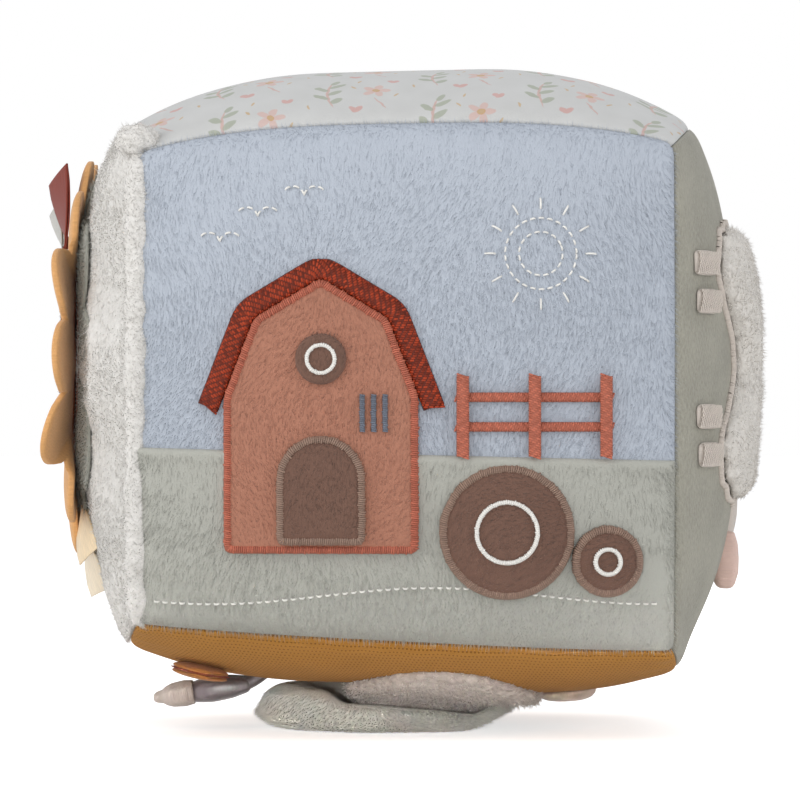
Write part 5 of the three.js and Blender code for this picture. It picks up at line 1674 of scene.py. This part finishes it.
# %% Ribbon loops
def ribbon_loop(name, place, length, width, thickness, table, puff, seated, twist, slant):
    """A ribbon folded into a loop: a thin closed band whose two layers open a little towards the tip,
    turned about its length by the twist and folded at a slant."""
    rows, columns = 26, 17
    root, x, y, z = place
    t = np.linspace(0, 1, rows)
    gap = puff * np.sin(np.pi * np.clip(t * 1.06, 0, 1)) ** 0.8 + 0.12
    up_side = np.stack([t * length, gap + seated], -1)
    turn = np.linspace(np.pi / 2, -np.pi / 2, 9)[1:-1]
    end = np.stack([length + gap[-1] * np.cos(turn), gap[-1] * np.sin(turn) + seated], -1)
    down_side = np.stack([t[::-1] * length, seated - gap[::-1]], -1)
    line = np.vstack([up_side, end, down_side])
    run = np.gradient(line, axis=0)
    run /= np.linalg.norm(run, axis=1, keepdims=True)
    square_to = np.stack([-run[:, 1], run[:, 0]], -1)
    table = np.array(table, float)
    wide = width / 2 * np.interp(line[:, 0] / length, table[:, 0], table[:, 1])
    across = np.linspace(-1, 1, columns)
    curl = 0.25 * across**2
    layers = []
    for side in (thickness / 2, -thickness / 2):
        path = line + square_to * side
        turn = (twist * np.clip(path[:, 0] / length, 0, 1) ** 0.35)[:, None]
        flat, off = wide[:, None] * across, path[:, 1:] + curl
        reach = path[:, :1] + slant * flat * np.clip(path[:, :1] / length, 0, 1)
        points = (root + reach[..., None] * x + (flat * np.cos(turn) - off * np.sin(turn))[..., None] * y
                  + (off * np.cos(turn) + flat * np.sin(turn))[..., None] * z)
        layers.append(points.reshape(-1, 3))
    length_along = lengths_along(line)
    spots = np.stack([np.broadcast_to(wide[:, None] * across, (len(line), columns)),
                      np.broadcast_to(length_along[:, None], (len(line), columns))], -1)
    made = closed_sheet(name, layers[0], layers[1], grid_faces(len(line), columns), spots.reshape(-1, 2))
    return made, length_along[-1]


ROOT_SHIFT = {"rust_ribbon": (2.6, 0, -2.0), "grey_green_ribbon": (0.0, 0, -6.0),
              "peach_tag": (2.0, 0, 0), "beige_tag": (2.0, 0, 0)}
RIBBON = [[0, 0.5], [0.3, 0.95], [0.8, 1], [1.05, 0.9]]
for name, along, length, width, twist, slant, paint, node, slot in (
        ("rust_ribbon", (-0.139, 0, 0.990), 18.6, 13, 0.95, 0.35, rust_ribbon, "ribbon_rust", "rust_satin"),
        ("grey_green_ribbon", (-0.243, 0, 0.970), 12.5, 11, 0.8, 0.2, grey_ribbon, "ribbon_grey_green",
         "grey_green_ribbon"),
        ("peach_tag", (0.147, -0.429, -0.891), 12.5, 11, -0.5, 0.0, peach_ribbon, "ribbon_peach",
         "peach_ribbon"),
        ("beige_tag", (0.230, -0.131, -0.964), 12.5, 11, -0.5, 0.0, beige_ribbon, "ribbon_beige",
         "peach_ribbon")):
    place = strip_frame(name + "_fold", along)
    place[0][:] += ROOT_SHIFT[name]
    loop, run = ribbon_loop(name, place, length, width, 0.35, RIBBON, 0.42 if "tag" in name else 0.2, 0.0,
                            twist=twist, slant=slant)
    hung(loop, paint, name, [node], slot)
    width / 1000
    print(name, "is cut", width, "by", round(run, 1), "mm")

# %% [markdown]
# ## Below the block
# A stuffed woolly belly, a round plush flap that the block stands on, a satin limb with a velvety tip
# and a small tab hang from the knitted bottom. The flap is sewn to the bottom behind and free in front;
# its rim is puffed and its long pile is combed outwards.

# %% Belly and snout
STAND_FLAP, BELLY_REST = 0.8, 2.0
WOOL_MIDDLE, WOOL_RADII = (9.5, 18.0), (24, 36)


def underside(x, y):
    return bottom.spots(x, -np.asarray(y, float))[..., 2]


def smooth(t):
    t = np.clip(t, 0, 1)
    return t * t * (3 - 2 * t)


def oval(middle, radii, count):
    return [(middle[0] + radii[0] * math.cos(a), middle[1] + radii[1] * math.sin(a))
            for a in np.linspace(0, 2 * np.pi, count, endpoint=False)]


def belly(x, y):
    """How far the belly hangs below the patch, so that it rests on the flap."""
    share = np.clip(np.hypot(x - 1.0, y) / 27.0, 0, 1)
    return np.minimum(8.5 * (1 - share**2) ** 2, underside(x, y) - LIFT - 3.0 - BELLY_REST)


patch, _ = cut_shape("belly_patch", bottom, oval(WOOL_MIDDLE, WOOL_RADII, 150), WOOL_MIDDLE, 2.4, LIFT,
                     soft=3.0, bumps=lambda x, y: belly(x, -y), step=0.8, ring=0.8)
moved_out(patch, lambda p: np.where(
    (p[:, 2] > 3.4) & (p[:, 2] < 20), 0.8 * hills(p[:, 0], p[:, 1], 3.0, 12) - 0.4, 0))
dress(patch, patch_wool, replaces=["fleece_patch"], slot="fleece")
points, faces = skin_of(patch)
pile("belly_patch_curls", points, [f for f in faces if points[f[0], 2] > 3.5],
     combed(bottom, points[:, 0], points[:, 1], 0.3, 3.0), (90, 1.6, 0.3, 0.9, 0.9),
     patch_fibre, 14)
snout_line = oval((40.5, 2), (7.5, 13), 90)
snout, _ = cut_shape("belly_snout", bottom, snout_line, (40.5, 2.0), 2.2, LIFT, crown=0.6, soft=2.2)
dress(snout, blush_cloth, replaces=["fleece_snout"], slot="blush_plush")
print("belly hangs to", round(float(points[:, 2].min()), 2), "mm above the floor")

# %% The flap
FLAP_X, FLAP_RADIUS, FLAP_ROOT_Y, FLAP_HEM, FLAP_RIM = -5.0, 30.5, 29.4, 1.6, 12.0
flap_axis_z = joint_of("flap_fold")["pos_m"][2] / MM


def wool_over(x, y):
    """1 where the woolly patch lies over the flap and 0 beside it."""
    off = np.hypot((x - WOOL_MIDDLE[0]) / WOOL_RADII[0], (y + WOOL_MIDDLE[1]) / WOOL_RADII[1])
    return 1 - smooth((off - 1) / 0.25)


def flap_layers(x, y, share):
    """The flap's upper and lower height above the floor."""
    root = smooth((y - (FLAP_ROOT_Y - 10)) / 10)
    wool_depth = 3.35 * wool_over(x, y) + belly(x, y)
    room = underside(x, y) - wool_depth - LIFT - 0.5 - LIFT
    behind = smooth((y + 14) / 12)
    high = np.minimum(STAND_FLAP + (room - STAND_FLAP) * (0.92 + 0.06 * behind), FLAP_RIM + 5 * behind)
    edge = np.sqrt(np.clip(1 - (np.clip(share - 0.72, 0, 1) / 0.28) ** 2, 0, 1))
    middle = high / 2 + (flap_axis_z - high / 2) * root
    full = high / 2 * (edge + (1 - edge) * FLAP_HEM / FLAP_RIM)
    half = full + (FLAP_HEM - full) * root
    raised = np.maximum(0.02, middle - half) + 5.0 * smooth((x - 13.0) / 14.0) * (1 - root)
    return np.maximum(middle + half, raised + 1.0), raised


angle = np.linspace(0, 2 * np.pi, 144, endpoint=False)
reach = np.where(np.sin(angle) > 1e-6, FLAP_ROOT_Y / np.maximum(np.sin(angle), 1e-6), FLAP_RADIUS)
radius = np.minimum(FLAP_RADIUS, reach)
wobble = 1 + 0.008 * np.sin(5 * angle + 1) + 0.006 * np.sin(11 * angle)
radius = np.where(np.sin(angle) < 0.85, radius * wobble, radius)


def on_flap(shares):
    """Places on the flap at shares of its radius, its middle first, with their own shares."""
    x = np.concatenate([[FLAP_X], (FLAP_X + shares[:, None] * radius * np.cos(angle)).ravel()])
    y = np.concatenate([[0.0], (shares[:, None] * radius * np.sin(angle)).ravel()])
    return x, y, np.concatenate([[0], np.repeat(shares, len(angle))])


def disc_of_cloth(name, x, y, high, low, rings):
    spots = np.stack([x, y], -1)
    upper, lower = (np.column_stack([spots, height]) for height in (high, low))
    return closed_sheet(name, upper, lower, disc_faces(rings, len(angle)), spots)


shares = np.concatenate([np.linspace(0.06, 0.7, 12), 0.7 + 0.3 * np.sin(np.linspace(0, np.pi / 2, 15)[1:])])
x, y, share = on_flap(shares)
flap = disc_of_cloth("flap", x, y, *flap_layers(x, y, share), len(shares))
flap_skin = skin_of(flap)
flap.data.materials.append(flap_plush)
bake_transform(flap)
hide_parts("flap_plush")
print("flap:", len(flap.data.polygons), "faces, its axis at", round(flap_axis_z, 2), "mm")

# %% Its combed pile and lining
points, faces = flap_skin
centre_of = np.array([points[f].mean(0) for f in faces])
out = centre_of[:, :2] - [FLAP_X, 0]
far = np.linalg.norm(out, axis=1) / FLAP_RADIUS
keep = (far > 0.74) & (centre_of[:, 1] < FLAP_ROOT_Y - 4)
rim_faces = [faces[i] for i in np.nonzero(keep)[0]]
away = points[:, :2] - [FLAP_X, 0]
away = away / (np.linalg.norm(away, axis=1, keepdims=True) + 1e-9)
droop = np.clip((points[:, 2] - 3.0) / 4.0, -0.2, 1.0)
comb = np.stack([away[:, 0], away[:, 1], -0.9 * droop - 0.1], -1) * 0.8
comb[:, 0] += 0.45 * np.sin(points[:, 0] / 4.0 + points[:, 2] / 2.0)
long_pile = pile("flap_pile", points, rim_faces, comb, (420, 3.2, 0.26, 0.12, 0.2), flap_fibre, 22, "flap")
points = coordinates(long_pile.data) / MM
points[:, 2] = np.clip(points[:, 2], 0.05, None)
long_pile.data.vertices.foreach_set("co", (points * MM).ravel())
long_pile.data.update()
LINING = np.linspace(0.04, 0.3, 10)
x, y, share = on_flap(LINING)
over = flap_layers(x, y, share)[0] + 0.35
lining = disc_of_cloth("flap_lining_cloth", x, y, over + 0.5, over, len(LINING))
dress(lining, knit, "flap", ["flap_lining"], "waffle_knit")
print("flap pile:", len(long_pile.data.polygons) // 4, "locks")

# %% [markdown]
# The limb is a small stuffed tube of grey satin that ends in a cream tip. The tab is two padded cloths
# laid on each other, with a thin rust piping that shows between their edges.

# %% Limb, tip and tab
LIMB = [[0, 0.8, 0.5625], [0.35, 0.95, 0.9], [0.7, 0.95, 1], [1, 0.8, 0.85]]
TIP = [[0, 0.9, 0.9], [0.3, 1, 1], [0.7, 0.95, 0.9], [0.9, 0.78, 0.7], [1, 0.6, 0.5]]
LEAF = [[0, 0.75, 1], [0.4, 1, 1], [0.75, 0.85, 0.85], [1, 0.45, 0.5]]
limb_place = strip_frame("limb_fold", (-0.989, 0, -0.148))
limb = strip("limb", limb_place, 13.8, 15, 6.4, LIMB, 26, 36)
inflated(limb, 1.0, 3.0, 0.5)
subdivided(limb)


def along_limb(p):
    root, x, y, _ = limb_place
    return np.stack([(p - root) @ y, (p - root) @ x], -1)


flat_map(limb, along_limb)
upward = np.sign(limb_place[3][2])
limb_root = strip("limb_root", limb_place, 7.4, 13.5, 5.4, [[0, 0.9, 0.9], [1, 0.82, 0.6]], 12, 36,
                  start=-5.0, bend=lambda t: upward * 3.6 * (1 - t) ** 1.5)
dress(limb_root, limb_satin)
hung(limb, limb_satin, "limb", ["grey_limb"], "grey_satin")
tip = strip("limb_tip", limb_place, 8.0, 15, 6.4, TIP, 22, 36, start=14.3)
subdivided(tip)
flat_map(tip, along_limb)
dress(tip, tip_cloth, "limb", ["cream_tip"], "cream_velour")
tab_place = strip_frame("tab_fold", (0, -1, 0))
tab_place[0][2] += 1.2
outer_half = (2.0 + 0.35 + 1.3) / 2
tab = subdivided(strip("mustard_tab_outer", tab_place, 11.4, 14, 2.6, LEAF, 16, 28, square=1.0,
                       offset=outer_half - 1.3))
hung(tab, mustard_cloth, "tab", ["mustard_tab"], "mustard_cloth")
inner = subdivided(strip("mustard_tab_inner", tab_place, 11.4, 14, 2.2, LEAF, 16, 28,
                         square=1.0, offset=1.0 - outer_half))
piping = strip("mustard_tab_piping", tab_place, 11.9, 14.9, 0.9, LEAF, 16, 28, square=1.0, offset=-0.1)
hung(piping, rust_cloth, "tab")
hung(inner, mustard_cloth, "tab", ["mustard_tab_lining"], "rust_satin")
print("limb, tip and tab done")

# %% [markdown]
# ## Inside
# Two wads of fibre fill the cover around a rattle capsule with loose beads. Nobody sees them, but the
# block isn't hollow: the wads are the stuffed shape again, one cloth smaller, cut at the middle, with a
# round pocket for the rattle.

# %% Filling, rattle case and beads
POCKET_RADIUS, WAD_GRID = 15.4, 25


def wad(name, node, sign):
    """One half of the filling: below the cut for sign -1, above it for 1."""
    mesh = bpy.data.meshes.new(name)
    work = bmesh.new()
    t = np.linspace(-1, 1, WAD_GRID)
    for face in (left, right, front, back, top, bottom):
        u, v = np.meshgrid(t, t)
        depth = (4.0 if face is left else 2.2) + 0.45
        points = block_points(face.cube(u, v), depth).reshape(-1, 3)
        corners = [work.verts.new(p * MM) for p in points]
        for f in facing(face, points, grid_faces(WAD_GRID, WAD_GRID)):
            work.faces.new([corners[i] for i in f])
    bmesh.ops.remove_doubles(work, verts=work.verts, dist=0.004)
    cut = bmesh.ops.bisect_plane(work, geom=work.verts[:] + work.edges[:] + work.faces[:],
                                 plane_co=(0, 0, (CENTRE[2] + sign * 0.2) * MM), plane_no=(0, 0, -sign),
                                 clear_outer=True)
    edges = [e for e in cut["geom_cut"] if isinstance(e, bmesh.types.BMEdge)]
    bmesh.ops.contextual_create(work, geom=edges)
    bmesh.ops.recalc_face_normals(work, faces=work.faces[:])
    work.to_mesh(mesh)
    work.free()
    thing = placed(name, mesh)
    ball_mesh = bpy.data.meshes.new("pocket")
    ball = bmesh.new()
    bmesh.ops.create_uvsphere(ball, u_segments=32, v_segments=24, radius=POCKET_RADIUS * MM)
    bmesh.ops.translate(ball, verts=ball.verts, vec=(0, 0, CENTRE[2] * MM))
    ball.to_mesh(ball_mesh)
    ball.free()
    pocket = placed("pocket", ball_mesh)
    hole = thing.modifiers.new("pocket", "BOOLEAN")
    hole.operation, hole.object = "DIFFERENCE", pocket
    settled(thing)
    bpy.data.objects.remove(pocket)
    flat_map(thing, lambda p: p[:, :2])
    dress(thing, fibre_wad, replaces=[node], slot="fibre")
    return thing


fibre_wad = sherpa("fibre_filling", (244, 242, 236), (222, 219, 212), 2.0)
for half, sign in (("lower", -1), ("upper", 1)):
    name = "filling_wad_" + half
    made = wad(name, "filling_" + half, sign)
    print(name, "has", len(made.data.polygons), "faces")


def moulded(name, shown, roughness):
    paint = Paint(name)
    place = paint.place()
    cloud = paint.noise(place, 0.2, 2.0)
    base = paint.mix(cloud, colour(*shown, 0.94), colour(*shown, 1.05))
    rough = paint.noise(place, 1.5, 2.0) * 0.15 + roughness
    return paint.finish(base, rough, paint.noise(place, 3.0, 2.0), 0.00005, 0.4, Specular_IOR_Level=0.5)


shell, bead = moulded("rattle_plastic", (232, 230, 223), 0.3), moulded("bead_plastic", (190, 142, 64), 0.25)
for name, node in frame["nodes"].items():
    if name.startswith("rattle_"):
        node.data.materials.clear()
        node.data.materials.append(bead if "bead" in name else shell)
print("rattle parts:", sum(name.startswith("rattle_") for name in frame["nodes"]))

# %% [markdown]
# ## Floor, light and camera
# The camera stands where the photo was taken from: level with the middle of the block and straight in
# front of it, with a long lens. Lamps are big and soft, a key from above on the left, one on each side
# and one behind, at a level where a colour looks as it was mixed. A wide, low lamp in front and a narrow
# one along the floor reach the underside, which the block itself keeps dark. The floor and the backdrop
# are white to the camera only, so they add no light to the toy, and the floor keeps the toy's shadow.

# %% Floor and backdrop
def backdrop(name, base, glow):
    """A pale material that looks white to the camera and in reflections, but lights nothing else."""
    paint = Paint(name)
    cover = paint.node("ShaderNodeBsdfPrincipled", None, {"Base Color": colour(*base), "Roughness": 0.9})
    seen = either([paint.node("ShaderNodeLightPath", output=f"Is {kind} Ray")
                   for kind in ("Camera", "Glossy", "Transmission")])
    light = paint.node("ShaderNodeEmission", None, {"Color": (1, 1, 1, 1), "Strength": seen * glow})
    both = paint.node("ShaderNodeAddShader", None, {0: cover, 1: light})
    paint.node("ShaderNodeOutputMaterial", None, {0: both})
    return paint.material


FLOOR_HALF = 6000.0
corners = [(x * FLOOR_HALF, y * FLOOR_HALF, 0) for x, y in ((-1, -1), (1, -1), (1, 1), (-1, 1))]
floor = make_object("floor", corners, [[0, 1, 2, 3]])
floor.data.materials.append(backdrop("pale_floor", (238, 237, 235), 0.62))
print("floor at height", floor.data.vertices[0].co.z)

# %% Light and camera
world = bpy.data.worlds.new("studio")
bpy.context.scene.world = world
studio = Paint("studio", world)
surround, white = (studio.node("ShaderNodeBackground", None, {0: shade, 1: strength})
                   for shade, strength in (((0.93, 0.95, 1.0, 1.0), 0.55), ((1, 1, 1, 1), 1.0)))
seen = studio.node("ShaderNodeLightPath", output="Is Camera Ray")
chosen = studio.node("ShaderNodeMixShader", None, {0: seen, 1: surround, 2: white})
studio.node("ShaderNodeOutputWorld", None, {0: chosen})


def lamp(name, place, target, width, power, tint=(1, 1, 1), height=None):
    """An oval area lamp that the camera doesn't see: places and sizes in metres, power in watts."""
    light = bpy.data.lights.new(name, "AREA")
    light.shape, light.size, light.size_y = "ELLIPSE", width, height or width
    light.energy, light.color = power, tint
    made = placed(name, light)
    made.location = place
    made.rotation_euler = (Vector(target) - Vector(place)).to_track_quat("-Z", "Y").to_euler()
    made.visible_camera = False
    return made


lamp("key", (-0.55, -0.75, 0.85), (0, 0, 0.08), 0.6, 2.4, (1.0, 0.985, 0.96))
lamp("front", (-0.1, -1.4, 0.17), (-0.01, 0, 0.03), 1.4, 3.4, (1, 1, 1), 0.32)
low = lamp("low", (-0.03, -0.9, 0.025), (-0.01, 0, 0.002), 0.5, 0.028, (1, 1, 1), 0.03)
low.data.spread = math.radians(5)
lamp("left", (-1.0, -0.45, 0.35), (0, 0, 0.08), 0.7, 3.0)
lamp("right", (0.95, -0.6, 0.45), (0, 0, 0.08), 0.7, 2.7)
lamp("rim", (0.2, 0.95, 0.8), (0, 0, 0.1), 0.6, 3.4)

camera_data = bpy.data.cameras.new("camera")
camera_data.lens, camera_data.sensor_width = 226.35, 36.0
camera_data.clip_start, camera_data.clip_end = 0.05, 50
camera = placed("camera", camera_data)
camera.location = (-0.0013, -1.265, 0.082)
camera.rotation_euler = (math.pi / 2, 0, 0)
bpy.context.scene.camera = camera
bpy.context.scene.view_settings.view_transform = "Standard"
print("camera looks from", tuple(camera.location))
